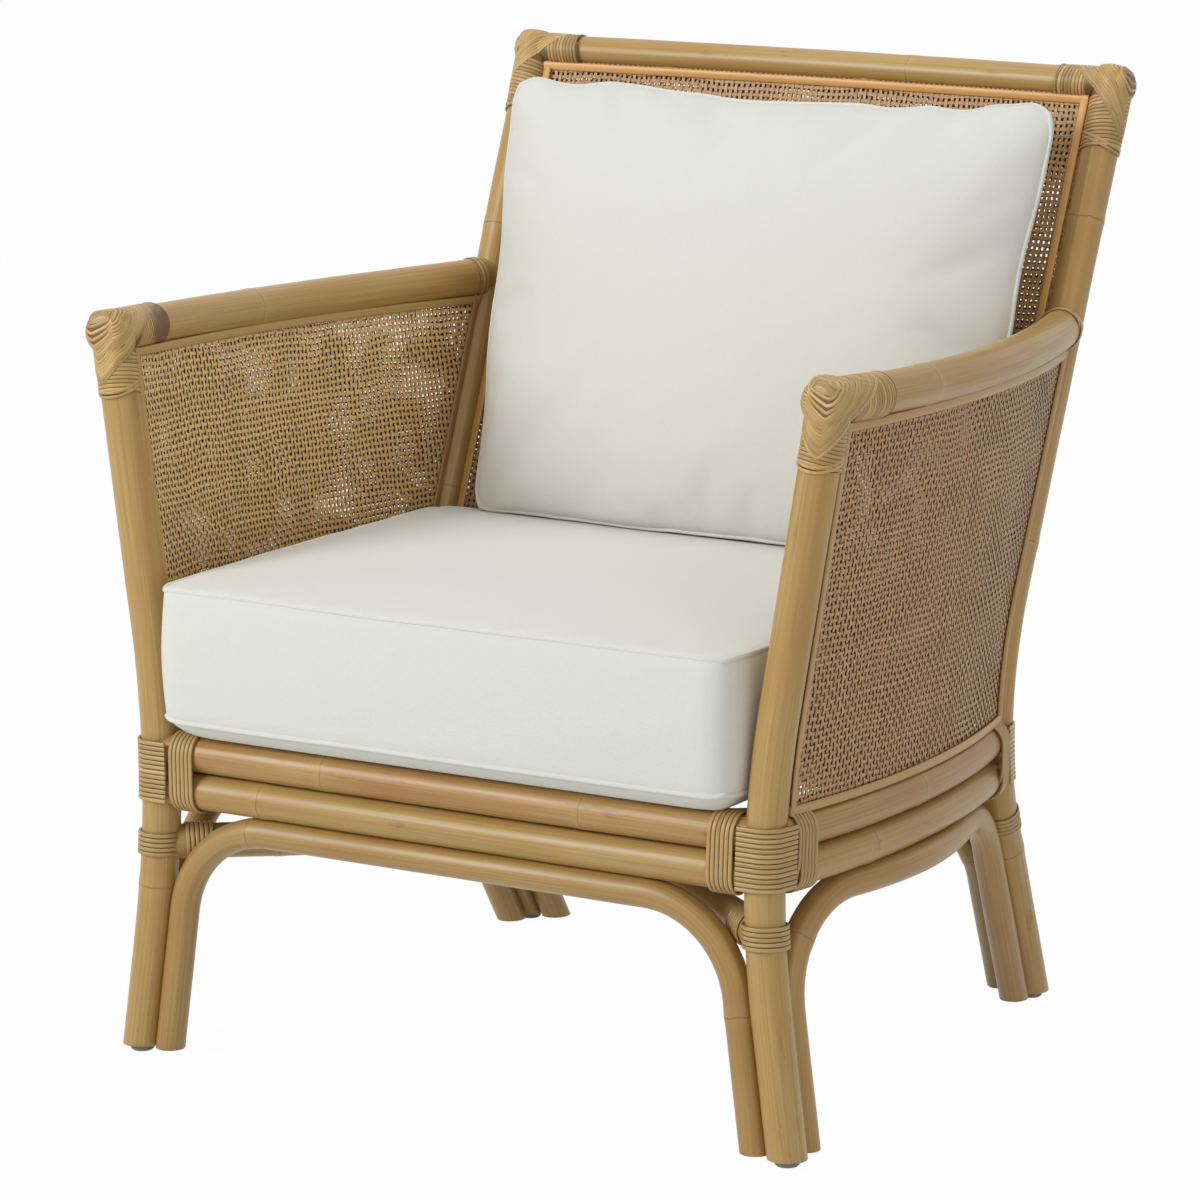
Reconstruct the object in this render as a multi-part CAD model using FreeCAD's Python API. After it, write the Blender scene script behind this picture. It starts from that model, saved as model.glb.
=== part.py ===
# Rattan armchair: bent and coped poles, cane panels, strand bindings and two loose cushions.
# Millimetres. X runs to the chair's left-hand side as one faces it, Y from front to back, Z up.
# The origin is on the floor, under the middle of the bounding box.

import math
import os

import FreeCAD, Part

Vector = FreeCAD.Vector

# Place of the origin, counted back from the front plane that the depths below start at
DEPTH_MIDDLE = 332.7

# Pole diameters
FRONT_POST = 34.0
BACK_POST = 33.0
ARM = 35.0
RAIL = 32.0
TOP_RAIL = 28.0
ARCH = 26.0
STRETCHER = 31.0
SLAT = 18.0

# Front posts: distance from the middle plane, depth and height of each point on the axis
GLIDE_HEIGHT = 6.0
FRONT_FOOT = (325.9, 26.0, GLIDE_HEIGHT)
FRONT_KNEE = (292.6, 28.0, 251.1)
FRONT_TOP = (353.2, 37.9, 636.8)
FRONT_KNEE_RADIUS = 871.0

# Back posts, which kick back below the rails and lean back above them
BACK_FOOT = (269.4, 584.0, GLIDE_HEIGHT)
BACK_KNEE = (295.7, 427.8, 290.7)
BACK_TOP = (302.3, 652.8, 830.0)
BACK_KNEE_RADIUS = 249.0
POST_END_ROUNDING = 8.0

# Rails, stacked in pairs
UPPER_RAIL_HEIGHT = 274.6
LOWER_RAIL_HEIGHT = UPPER_RAIL_HEIGHT - RAIL - 0.9
SIDE_RAIL_BOW = 27.0
BACK_RAIL_BOW = 12.0

# Arms, bowed outward and falling towards the back
ARM_BACK_HEIGHT = 624.0
ARM_BOW = 28.6
ARM_DIP = 3.0

# Arches under the rails
ARCH_BEND_RADIUS = 90.0
ARCH_HEIGHT = LOWER_RAIL_HEIGHT - RAIL / 2 - ARCH / 2
SIDE_ARCH_BOW = 47.0
SIDE_ARCH_BOW_RADIUS = 420.0

# Crossed stretchers
STRETCHER_HEIGHT = 191.0

# Seat deck of poles laid front to back
SLAT_COUNT = 9
SLAT_PITCH = 54.0
DECK_TOP = UPPER_RAIL_HEIGHT + RAIL / 2 + 2.0

# Cane panels, two sheets on each frame, and the strips that hold their edges
SHEET = 2.0
SHEET_OFFSET = 5.5
TRIM = 3.0
TRIM_WIDTH = 8.0
PANEL_FACE = SHEET_OFFSET + SHEET
SIDE_SECTIONS = (0.0, 0.06, 0.12, 0.18, 0.25, 0.34, 1.0)
BACK_SECTIONS = (0.0, 0.05, 0.1, 0.15, 0.22, 1.0)

# Binding strands, wound round the poles or laid to and fro on them
STRAND = 3.4
STRAND_PITCH = 4.2
LEAST_GAP_ALLOWED = 0.4
SEAT_GAP = 0.05
RAIL_SEAT_GAP = 0.15
POST_SEAT_GAP = 0.3
FIT = 0.15
WOVEN_WRAP = 2.0
POST_BAND_PASSES = 13
RAIL_WRAP_TURNS = 6
LEG_BAND_TURNS = 5
LEG_BAND_HEIGHT = 191.0
STRETCHER_WRAP_LENGTH = 27.0
CORNER_WRAP_POST = 75.0
CORNER_WRAP_ARM = 70.0
TOP_WRAP = 80.0
RING_WIDTH = 9.0

# Glides under the posts
GLIDE = 21.0
GLIDE_PIN = 5.0
GLIDE_PIN_LENGTH = 16.0
GLIDE_CHAMFER = 1.5

# Seat cushion: boxed, with its underside pressed flat on the deck
SEAT_HALF_WIDTH = 284.3
SEAT_FRONT = -4.0
SEAT_BACK_LOW = 428.0
SEAT_BACK_HIGH = 446.0
SEAT_PIPING_LOW = 309.0
SEAT_PIPING_HIGH = 426.0
SEAT_CROWN = 16.0
SEAT_FRONT_BULGE = 8.0
SEAT_BACK_BULGE = 5.0
SEAT_FLAT_INSET = 44.0
SEAT_SAG = 3.0
SEAT_LEAST_BULGE = 1.0
SEAT_SECTIONS = (-1.0, -0.86, -0.45, 0.0, 0.45, 0.86, 1.0)
SEAT_SQUARENESS = 6
CUSHION_CLEARANCE = 0.3
FOAM_INSET = 26.0

# Back cushion: a pillow with one seam round it, standing on the seat and leaning back
PILLOW_HALF_WIDTH = 284.0
PILLOW_SEAM_LOW = (405.0, 424.0)
PILLOW_SEAM_HIGH = (583.0, 812.0)
PILLOW_FRONT_BULGE = 74.0
PILLOW_BACK_BULGE = 62.0
PILLOW_EDGE = 5.0
PILLOW_SECTIONS = (-1.0, -0.8, -0.4, 0.0, 0.4, 0.8, 1.0)
PILLOW_SQUARENESS = 2.4
FILLING_WIDTH_SHARE = 0.6
FILLING_FULLNESS = 0.45

# Numbers of the modelling itself
FAR = 2000.0
TINY = 1e-6
GAP_SAMPLE = 1.5


def point(across, depth, height):
    """A point from its distance to the middle plane, to the front plane and to the floor."""
    return Vector(across, depth - DEPTH_MIDDLE, height)


def mirrored(shape):
    """The same piece on the other side of the chair."""
    return shape.mirror(Vector(0, 0, 0), Vector(1, 0, 0))


def unit(vector):
    """A copy of the vector, one millimetre long."""
    return Vector(vector).normalize()


def half_space(through, normal):
    """Everything on the side of a plane that its normal points to."""
    box = Part.makeBox(FAR, FAR, FAR, Vector(-FAR / 2, -FAR / 2, 0))
    box.Placement = FreeCAD.Placement(through, FreeCAD.Rotation(Vector(0, 0, 1), normal))
    return box


def largest(shape):
    """The biggest solid of a cut piece."""
    return max(shape.Solids, key=lambda solid: solid.Volume)


def half_angle_at(before, corner, after):
    """Half of the angle that a path makes at a corner."""
    return (before - corner).getAngle(after - corner) / 2


def bent_wire(points, radii):
    """Straight runs through the points, with each inner corner rounded to its radius."""
    edges = []
    start = points[0]
    for before, corner, after, radius in zip(points, points[1:], points[2:], radii):
        back = unit(before - corner)
        ahead = unit(after - corner)
        half_angle = half_angle_at(before, corner, after)
        reach = radius / math.tan(half_angle)
        arc_start = corner + back * reach
        arc_end = corner + ahead * reach
        arc_middle = corner + unit(back + ahead) * (radius / math.sin(half_angle) - radius)
        edges.append(Part.makeLine(start, arc_start))
        edges.append(Part.Arc(arc_start, arc_middle, arc_end).toShape())
        start = arc_end
    edges.append(Part.makeLine(start, points[-1]))
    return Part.Wire(edges)


def arc_wire(start, middle, end):
    """One arc through three points."""
    return Part.Wire([Part.Arc(start, middle, end).toShape()])


def swept(wire, diameter):
    """A round pole along a wire of lines and arcs: cylinders and parts of rings."""
    runs = []
    for edge in wire.OrderedEdges:
        start = edge.valueAt(edge.FirstParameter)
        tangent = edge.tangentAt(edge.FirstParameter)
        if isinstance(edge.Curve, Part.Line):
            runs.append(straight(start, edge.valueAt(edge.LastParameter), diameter))
            continue
        face = Part.Face(Part.Wire(Part.makeCircle(diameter / 2, start, tangent)))
        angle = math.degrees(edge.LastParameter - edge.FirstParameter)
        runs.append(face.revolve(edge.Curve.Center, edge.Curve.Axis, angle))
    return runs[0].multiFuse(runs[1:]).removeSplitter() if len(runs) > 1 else runs[0]


def straight(start, end, diameter):
    """A straight pole."""
    return Part.makeCylinder(diameter / 2, (end - start).Length, start, end - start)


def height_on(wire, height):
    """The point of a post's axis at a height."""
    plane = Part.makePlane(FAR, FAR, Vector(-FAR / 2, -FAR / 2, height), Vector(0, 0, 1))
    return wire.section(plane).Vertexes[0].Point


def front_post_wire(below=0.0, above=0.0):
    """Axis of the front post, made longer at either end where asked."""
    foot = point(*FRONT_FOOT)
    knee = point(*FRONT_KNEE)
    top = point(*FRONT_TOP)
    foot = foot + unit(foot - knee) * below
    top = top + unit(top - knee) * above
    return bent_wire([foot, knee, top], [FRONT_KNEE_RADIUS])


def back_post_wire(below=0.0, above=0.0):
    """Axis of the back post, made longer at either end where asked."""
    foot = point(*BACK_FOOT)
    knee = point(*BACK_KNEE)
    top = point(*BACK_TOP)
    foot = foot + unit(foot - knee) * below
    top = top + unit(top - knee) * above
    return bent_wire([foot, knee, top], [BACK_KNEE_RADIUS])


FRONT_AXIS = front_post_wire(below=FRONT_POST, above=FRONT_POST)
BACK_AXIS = back_post_wire(below=BACK_POST, above=BACK_POST)


def side_line(share):
    """Ends of a line across the side frame, from the upper rail at 0 to the arm at 1."""
    front_height = UPPER_RAIL_HEIGHT + share * (FRONT_TOP[2] - UPPER_RAIL_HEIGHT)
    back_height = UPPER_RAIL_HEIGHT + share * (ARM_BACK_HEIGHT - UPPER_RAIL_HEIGHT)
    return height_on(FRONT_AXIS, front_height), height_on(BACK_AXIS, back_height)


def bowed(start, end, bow, outward):
    """Start, middle and end of an arc that bows away from the line between its ends."""
    return start, (start + end) / 2 + outward * bow, end


def side_rail_points(height):
    """Axis of a side rail at a height, from the front post to the back post."""
    front = height_on(FRONT_AXIS, height)
    back = height_on(BACK_AXIS, height)
    return bowed(front, back, SIDE_RAIL_BOW, Vector(1, 0, 0))


def back_rail_points(height):
    """Axis of a back rail at a height, from right to left."""
    right = height_on(BACK_AXIS, height)
    left = Vector(-right.x, right.y, right.z)
    return bowed(right, left, BACK_RAIL_BOW, Vector(0, 1, 0))


def arm_points():
    """Axis of the arm from the front post to the back post."""
    front, back = side_line(1.0)
    start, middle, end = bowed(front, back, ARM_BOW, Vector(1, 0, 0))
    return start, middle - Vector(0, 0, ARM_DIP), end


def make_arm():
    """The arm before it is coped: a straight stub over the front post and one long arc."""
    start, middle, end = arm_points()
    arc = Part.Arc(start, middle, end).toShape()
    tangent = arc.tangentAt(arc.FirstParameter)
    front_end = start - tangent * (ARM / 2)
    wire = Part.Wire([Part.makeLine(front_end, start), arc])
    return rounded_end(swept(wire, ARM), front_end, POST_END_ROUNDING)


def rounded_end(solid, end, radius):
    """The pole with the edge of its free end rounded."""
    nearest = min(solid.Edges, key=lambda edge: (edge.CenterOfMass - end).Length)
    return solid.makeFillet(radius, [nearest])


def make_top_rail():
    """The top rail before it is coped."""
    right = point(*BACK_TOP)
    left = Vector(-right.x, right.y, right.z)
    return swept(arc_wire(*bowed(right, left, BACK_RAIL_BOW, Vector(0, 1, 0))), TOP_RAIL)


def make_back_post():
    """A back post from the floor's glide to the top of the top rail."""
    wire = back_post_wire(below=BACK_POST, above=TOP_RAIL / 2)
    top = point(*BACK_TOP)
    top = top + unit(top - point(*BACK_KNEE)) * (TOP_RAIL / 2)
    post = rounded_end(swept(wire, BACK_POST), top, POST_END_ROUNDING)
    return on_glide(post, BACK_FOOT)


def make_front_post():
    """A front post from the floor's glide to the axis of the arm."""
    return on_glide(swept(front_post_wire(below=FRONT_POST), FRONT_POST), FRONT_FOOT)


def on_glide(post, foot):
    """The post cut level above its glide, with the hole for the glide's pin."""
    level = post.common(half_space(Vector(0, 0, GLIDE_HEIGHT), Vector(0, 0, 1)))
    hole = Part.makeCylinder(GLIDE_PIN / 2, GLIDE_PIN_LENGTH + 1.0, point(*foot))
    return level.cut(hole)


def make_glide(foot):
    """A chamfered glide and the pin that holds it in the post."""
    base = point(foot[0], foot[1], 0)
    disc = Part.makeCylinder(GLIDE / 2, GLIDE_HEIGHT, base)
    low_edge = min(disc.Edges, key=lambda edge: edge.CenterOfMass.z + (edge.Length < GLIDE) * FAR)
    disc = disc.makeChamfer(GLIDE_CHAMFER, [low_edge])
    pin = Part.makeCylinder(GLIDE_PIN / 2, GLIDE_PIN_LENGTH, point(*foot))
    return disc.fuse(pin).removeSplitter()


def leg_beside(foot, knee, towards, distance):
    """Foot and direction of an arch leg that touches a post's leg on one side."""
    direction = unit(point(*knee) - point(*foot))
    offset = unit(towards - direction * towards.dot(direction)) * distance
    start = point(*foot) + offset
    start = start + direction * ((GLIDE_HEIGHT - start.z) / direction.z)
    return start, direction


def at_height(start, direction, height):
    """Where a leg reaches a height."""
    return start + direction * ((height - start.z) / direction.z)


def make_cross_arch(foot, knee, post):
    """The arch between two front or two back legs."""
    start, direction = leg_beside(foot, knee, Vector(-1, 0, 0), (post + ARCH) / 2 + SEAT_GAP)
    low = at_height(start, direction, -ARCH)
    corner = at_height(start, direction, ARCH_HEIGHT)
    right = [low, corner]
    left = [Vector(-p.x, p.y, p.z) for p in reversed(right)]
    arch = swept(bent_wire(right + left, [ARCH_BEND_RADIUS] * 2), ARCH)
    return arch.common(half_space(Vector(0, 0, GLIDE_HEIGHT), Vector(0, 0, 1)))


def make_side_arch():
    """The arch between a front leg and a back leg, its bar bowed under the side rails."""
    front, front_way = leg_beside(
        FRONT_FOOT, FRONT_KNEE, Vector(0, 1, 0), (FRONT_POST + ARCH) / 2 + SEAT_GAP
    )
    back, back_way = leg_beside(
        BACK_FOOT, BACK_KNEE, Vector(0, -1, 0), (BACK_POST + ARCH) / 2 + SEAT_GAP
    )
    front_corner = at_height(front, front_way, ARCH_HEIGHT)
    back_corner = at_height(back, back_way, ARCH_HEIGHT)
    middle = (front_corner + back_corner) / 2 + Vector(SIDE_ARCH_BOW, 0, 0)
    points = [
        at_height(front, front_way, -ARCH),
        front_corner,
        middle,
        back_corner,
        at_height(back, back_way, -ARCH),
    ]
    room = FAR
    for end, corner in ((points[0], front_corner), (points[-1], back_corner)):
        reach = ARCH_BEND_RADIUS / math.tan(half_angle_at(end, corner, middle))
        room = min(room, (middle - corner).Length - reach - ARCH / 4)
    widest = room * math.tan(half_angle_at(front_corner, middle, back_corner))
    radii = [ARCH_BEND_RADIUS, min(SIDE_ARCH_BOW_RADIUS, widest), ARCH_BEND_RADIUS]
    arch = swept(bent_wire(points, radii), ARCH)
    return arch.common(half_space(Vector(0, 0, GLIDE_HEIGHT), Vector(0, 0, 1)))


def make_stretchers(cutters):
    """Two poles from corner to corner, halved into each other where they cross."""
    front = height_on(FRONT_AXIS, STRETCHER_HEIGHT)
    back = height_on(BACK_AXIS, STRETCHER_HEIGHT)
    back = Vector(-back.x, back.y, back.z)
    whole = straight(front, back, STRETCHER)
    for cutter in cutters:
        whole = whole.cut(cutter)
    over = largest(whole)
    under = mirrored(over)
    lower_half = half_space(Vector(0, 0, STRETCHER_HEIGHT), Vector(0, 0, -1))
    over_cut = largest(over.cut(under.common(lower_half)))
    under_cut = largest(under.cut(over_cut))
    return over_cut, under_cut


def make_slats(front_rail, back_rail):
    """Seat deck poles, coped onto the upper front and back rails short of their tops."""
    front = height_on(FRONT_AXIS, DECK_TOP)
    back = height_on(BACK_AXIS, DECK_TOP)
    short = PANEL_FACE + TRIM + 1.0
    slats = []
    for number in range(SLAT_COUNT):
        across = (number - (SLAT_COUNT - 1) / 2) * SLAT_PITCH
        bow = BACK_RAIL_BOW * (1 - (across / back.x) ** 2)
        start = Vector(across, front.y + short, DECK_TOP - SLAT / 2)
        end = Vector(across, back.y + bow - short, DECK_TOP - SLAT / 2)
        slats.append(hollowed(straight(start, end, SLAT), [front_rail, back_rail]))
    return slats


def side_band(inner, outer):
    """A thin wall on the side frame, between two distances from the plane of its axes."""
    sections = []
    for share in SIDE_SECTIONS:
        front, back = side_line(share)
        bow = SIDE_RAIL_BOW + share * (ARM_BOW - SIDE_RAIL_BOW)
        sections.append(band_section(front, back, bow, Vector(1, 0, 0), inner, outer))
    return Part.makeLoft(sections, True, True)


def back_band(inner, outer):
    """A thin wall on the back frame, between two distances from the plane of its axes."""
    sections = []
    top = BACK_TOP[2]
    for share in BACK_SECTIONS:
        height = UPPER_RAIL_HEIGHT + share * (top - UPPER_RAIL_HEIGHT)
        right = height_on(BACK_AXIS, height)
        left = Vector(-right.x, right.y, right.z)
        sections.append(band_section(right, left, BACK_RAIL_BOW, Vector(0, 1, 0), inner, outer))
    return Part.makeLoft(sections, True, True)


def band_section(start, end, bow, outward, inner, outer):
    """A level cut through a thin bowed wall: two arcs and their ends."""
    near = [p + outward * inner for p in bowed(start, end, bow, outward)]
    far = [p + outward * outer for p in bowed(start, end, bow, outward)]
    return Part.Wire(
        [
            Part.Arc(*near).toShape(),
            Part.makeLine(near[2], far[2]),
            Part.Arc(far[2], far[1], far[0]).toShape(),
            Part.makeLine(far[0], near[0]),
        ]
    )


def make_trims(band, members, grown):
    """Four strips that frame a panel, each along one pole, mitred where two meet."""
    strips = []
    for index, (thick, _) in enumerate(grown):
        strip = band.common(thick)
        for other in (index - 1, (index + 1) % len(grown)):
            strip = strip.common(mitre(grown[index][1], grown[other][1]))
        for member in members:
            strip = strip.cut(member)
        strips.append(largest(strip))
    return strips


def mitre(axis, other):
    """The side of the corner between two axes that belongs to the first."""
    ends = [(near, far) for near in axis for far in other]
    here, _ = min(ends, key=lambda pair: (pair[0] - pair[1]).Length)
    along = unit(axis[1] - axis[0] if here == axis[0] else axis[0] - axis[1])
    near = min(other, key=lambda end: (end - here).Length)
    away = unit(other[1] - other[0] if near == other[0] else other[0] - other[1])
    return half_space(here, along - away)


def biarc(start, start_way, end, end_way):
    """Two arcs, smooth where they meet, that leave and arrive in the given directions."""
    chord = end - start
    both = start_way + end_way
    spread = 2 * (1 - start_way.dot(end_way))
    along = chord.dot(both)
    reach = (math.sqrt(along * along + spread * chord.dot(chord)) - along) / spread
    joint = (start + start_way * reach + end - end_way * reach) / 2
    return [tangent_arc(start, start_way, joint), tangent_arc(end, end_way * -1, joint, True)]


def tangent_arc(start, way, end, turned=False):
    """The arc that leaves a point in a direction and ends at another point."""
    chord = end - start
    along = unit(chord)
    bulge = way - along * way.dot(along)
    rise = chord.Length / 2 * math.tan(way.getAngle(along) / 2)
    middle = (start + end) / 2 + unit(bulge) * rise
    if turned:
        return Part.Arc(end, middle, start).toShape()
    return Part.Arc(start, middle, end).toShape()


def winding_path(centre, along, up, radius, half_height, turns, pitch=STRAND_PITCH):
    """Turns round one pole, or round two stacked poles where half_height is over 0."""
    out = along.cross(up)
    loop = 4 * half_height + 2 * math.pi * radius
    lead = along * (pitch / loop)
    edges = []
    travelled = 0.0
    origin = centre - along * (turns * pitch / 2)
    sides = [(out, up), (out * -1, up * -1)]
    for turn in range(turns):
        for side, way in sides:
            low = origin + side * radius - way * half_height + lead * travelled
            travelled += 2 * half_height
            high = origin + side * radius + way * half_height + lead * travelled
            travelled += math.pi * radius
            over = origin - side * radius + way * half_height + lead * travelled
            if half_height > 0:
                edges.append(Part.makeLine(low, high))
            edges.extend(biarc(high, unit(way + lead), over, unit(lead - way)))
    return Part.Wire(edges)


def serpentine_path(levels, radius, inward, backward, stub):
    """One strand laid to and fro round the outer corner of a post, level above level."""
    up = Vector(0, 0, 1)
    front = up.cross(inward)
    outside = backward.cross(up)
    edges = []
    turn_from = None
    turn_way = None
    for number, level in enumerate(levels):
        front_point = level + front * radius
        corner_middle = level + unit(front + outside) * radius
        side_point = level + outside * radius
        inner_end = front_point + inward * stub
        back_end = side_point + backward * stub
        stops = [inner_end, front_point, corner_middle, side_point, back_end]
        if number % 2:
            stops.reverse()
        if turn_from:
            edges.extend(biarc(turn_from, turn_way, stops[0], turn_way * -1))
        edges.append(Part.makeLine(stops[0], stops[1]))
        edges.append(Part.Arc(stops[1], stops[2], stops[3]).toShape())
        edges.append(Part.makeLine(stops[3], stops[4]))
        turn_from = stops[4]
        turn_way = inward if number % 2 else backward
    return Part.Wire(edges)


def strand(path):
    """A round strand laid along a path."""
    first = path.Edges[0]
    start = first.valueAt(first.FirstParameter)
    circle = Part.makeCircle(STRAND / 2, start, first.tangentAt(first.FirstParameter))
    return path.makePipeShell([Part.Wire(circle)], True, False)


def least_gap(path):
    """Least distance between two passes of a strand, from points along its path."""
    count = int(path.Length / GAP_SAMPLE)
    points = path.discretize(Number=count)
    step = path.Length / (count - 1)
    skipped = int(2 * STRAND_PITCH / step) + 1
    nearest = FAR
    for index, here in enumerate(points):
        for there in points[index + skipped:]:
            nearest = min(nearest, here.distanceToPoint(there))
    return nearest - STRAND


def report_gap(name, path):
    """Print the least gap of a binding to itself and stop where it is too small."""
    gap = least_gap(path)
    print(f"{name}: least gap {gap:.2f} mm")
    if gap < LEAST_GAP_ALLOWED:
        raise ValueError(f"{name} touches itself")


def make_post_band():
    """Strand laid round the outer corner of a front post at the rails."""
    middle_height = (UPPER_RAIL_HEIGHT + LOWER_RAIL_HEIGHT) / 2
    lowest = middle_height - (POST_BAND_PASSES - 1) * STRAND_PITCH / 2
    heights = [lowest + number * STRAND_PITCH for number in range(POST_BAND_PASSES)]
    levels = [height_on(FRONT_AXIS, height) for height in heights]
    rail = rail_axis(*side_rail_points(middle_height))
    backward = rail.tangentAt(rail.FirstParameter)
    radius = (FRONT_POST + STRAND) / 2 + POST_SEAT_GAP
    stub = FRONT_POST / 2 - (STRAND_PITCH + STRAND) / 2 + 1.0
    path = serpentine_path(levels, radius, Vector(-1, 0, 0), backward, stub)
    report_gap("front_post_bindings", path)
    return strand(path)


def rail_wrap_place(upper, lower, at_start, distance):
    """Middle, direction, tilt and half height of a wrap on two rails, near one end of them."""
    axis = rail_axis(*upper)
    if not at_start:
        distance = axis.Length - distance
    parameter = axis.getParameterByLength(distance)
    high = axis.valueAt(parameter)
    low = rail_axis(*lower).distToShape(Part.Vertex(high))[1][0][0]
    up = unit(high - low)
    tangent = axis.tangentAt(parameter)
    along = unit(tangent - up * tangent.dot(up))
    return (high + low) / 2, along, up, (high - low).Length / 2


def rail_axis(start, middle, end):
    """The axis of a rail as one edge."""
    if (middle - (start + end) / 2).Length < TINY:
        return Part.makeLine(start, end)
    return Part.Arc(start, middle, end).toShape()


def make_rail_wrap(centre, along, up, half_height):
    """Turns round two stacked rails, and the path that they follow."""
    radius = (RAIL + STRAND) / 2 + RAIL_SEAT_GAP
    path = winding_path(centre, along, up, radius, half_height, RAIL_WRAP_TURNS)
    return strand(path), path


def wrap_envelope(centre, along, up, half_height):
    """The room that a wrap takes on the upper of its two rails."""
    reach = along * ((RAIL_WRAP_TURNS * STRAND_PITCH + STRAND) / 2 + FIT)
    middle = centre + up * half_height
    return straight(middle - reach, middle + reach, RAIL + 2 * (RAIL_SEAT_GAP + STRAND + FIT))


def leg_band_place(axis):
    """Middle and direction of the band low on a post."""
    low = height_on(axis, LEG_BAND_HEIGHT - 1.0)
    high = height_on(axis, LEG_BAND_HEIGHT + 1.0)
    return (low + high) / 2, unit(high - low)


def make_leg_band(axis, post):
    """Turns round a post where a stretcher meets it, and the path that they follow."""
    centre, along = leg_band_place(axis)
    up = unit(Vector(0, 1, 0) - along * along.y)
    radius = (post + STRAND) / 2 + RAIL_SEAT_GAP
    path = winding_path(centre, along, up, radius, 0.0, LEG_BAND_TURNS)
    return strand(path), path


def leg_band_envelope(axis, post):
    """The room that a leg band takes round its post."""
    centre, along = leg_band_place(axis)
    reach = along * ((LEG_BAND_TURNS * STRAND_PITCH + STRAND) / 2 + FIT)
    return straight(centre - reach, centre + reach, post + 2 * (RAIL_SEAT_GAP + STRAND + FIT))


def leg_band_hull():
    """The outside of the plain band low on a back post."""
    centre, along = leg_band_place(BACK_AXIS)
    reach = along * (LEG_BAND_TURNS * STRAND_PITCH / 2)
    return straight(centre - reach, centre + reach, BACK_POST + 2 * WOVEN_WRAP)


def make_sleeve(start, end, diameter, cutters):
    """A plain sleeve of bound strands, one strand thick, round a straight stretch of pole."""
    outer = straight(start, end, diameter + 2 * WOVEN_WRAP)
    for cutter in cutters:
        outer = outer.cut(cutter)
    return largest(outer)


def elbow_hull(corner, down, down_length, along, along_length, post, pole):
    """The outside of the woven strands over the joint of a post and the pole on it."""
    post_outer = post + 2 * WOVEN_WRAP
    pole_outer = pole + 2 * WOVEN_WRAP
    top = corner - down * (pole_outer / 2)
    front = corner - along * (post_outer / 2)
    post_part = straight(corner + down * down_length, top, post_outer)
    pole_part = straight(corner + along * along_length, front, pole_outer)
    post_part = rounded_end(post_part, top, POST_END_ROUNDING)
    pole_part = rounded_end(pole_part, front, POST_END_ROUNDING)
    return post_part.fuse(pole_part)


def hollowed(hull, poles):
    """What is left of a binding's outside once its poles are taken from it."""
    for pole in poles:
        hull = hull.cut(pole)
    return largest(hull)


def seat_section(across, narrowing):
    """Front-to-back outline of the seat cushion at a distance from its middle."""
    share = 1 - narrowing
    end_lift = SEAT_PIPING_LOW - DECK_TOP - SEAT_SAG - SEAT_LEAST_BULGE
    flat = DECK_TOP + CUSHION_CLEARANCE + narrowing * end_lift
    front_low = point(across, SEAT_FRONT, SEAT_PIPING_LOW)
    front_high = point(across, SEAT_FRONT, SEAT_PIPING_HIGH)
    back_high = point(across, SEAT_BACK_HIGH, SEAT_PIPING_HIGH)
    back_low = point(across, SEAT_BACK_LOW, SEAT_PIPING_LOW)
    flat_front = point(across, SEAT_FRONT + SEAT_FLAT_INSET, flat)
    flat_back = point(across, SEAT_BACK_LOW - SEAT_FLAT_INSET, flat)
    bulge_front = Vector(0, -SEAT_FRONT_BULGE * share - SEAT_LEAST_BULGE, 0)
    bulge_back = Vector(0, SEAT_BACK_BULGE * share + SEAT_LEAST_BULGE, 0)
    crown = Vector(0, 0, SEAT_CROWN * share + SEAT_LEAST_BULGE)
    sag = Vector(0, 0, -SEAT_SAG * share - SEAT_LEAST_BULGE / 2)
    return Part.Wire(
        [
            Part.Arc(flat_front, (flat_front + front_low) / 2 + sag, front_low).toShape(),
            Part.Arc(front_low, (front_low + front_high) / 2 + bulge_front, front_high).toShape(),
            Part.Arc(front_high, (front_high + back_high) / 2 + crown, back_high).toShape(),
            Part.Arc(back_high, (back_high + back_low) / 2 + bulge_back, back_low).toShape(),
            Part.Arc(back_low, (back_low + flat_back) / 2 + sag, flat_back).toShape(),
            Part.makeLine(flat_back, flat_front),
        ]
    )


def make_seat_cushion():
    """The boxed seat cushion and the foam slab inside its cover."""
    sections = []
    for share in SEAT_SECTIONS:
        narrowing = abs(share) ** SEAT_SQUARENESS
        sections.append(seat_section(share * SEAT_HALF_WIDTH, narrowing))
    cover = Part.makeLoft(sections, True, False)
    core = Part.makeBox(
        2 * (SEAT_HALF_WIDTH - FOAM_INSET),
        SEAT_BACK_LOW - SEAT_FRONT - 2 * FOAM_INSET,
        SEAT_PIPING_HIGH - SEAT_PIPING_LOW - FOAM_INSET / 2,
        point(FOAM_INSET - SEAT_HALF_WIDTH, SEAT_FRONT + FOAM_INSET, SEAT_PIPING_LOW + FOAM_INSET / 4),
    )
    return cover.cut(core), core, cover


def pillow_section(across, fullness):
    """Outline of the back cushion at a distance from its middle: a front and a back arc."""
    low = point(across, *PILLOW_SEAM_LOW)
    high = point(across, *PILLOW_SEAM_HIGH)
    lean = unit(high - low)
    backward = Vector(0, lean.z, -lean.y)
    middle = (low + high) / 2
    front = middle - backward * (PILLOW_EDGE + PILLOW_FRONT_BULGE * fullness)
    back = middle + backward * (PILLOW_EDGE + PILLOW_BACK_BULGE * fullness)
    return Part.Wire(
        [Part.Arc(low, front, high).toShape(), Part.Arc(high, back, low).toShape()]
    )


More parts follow.
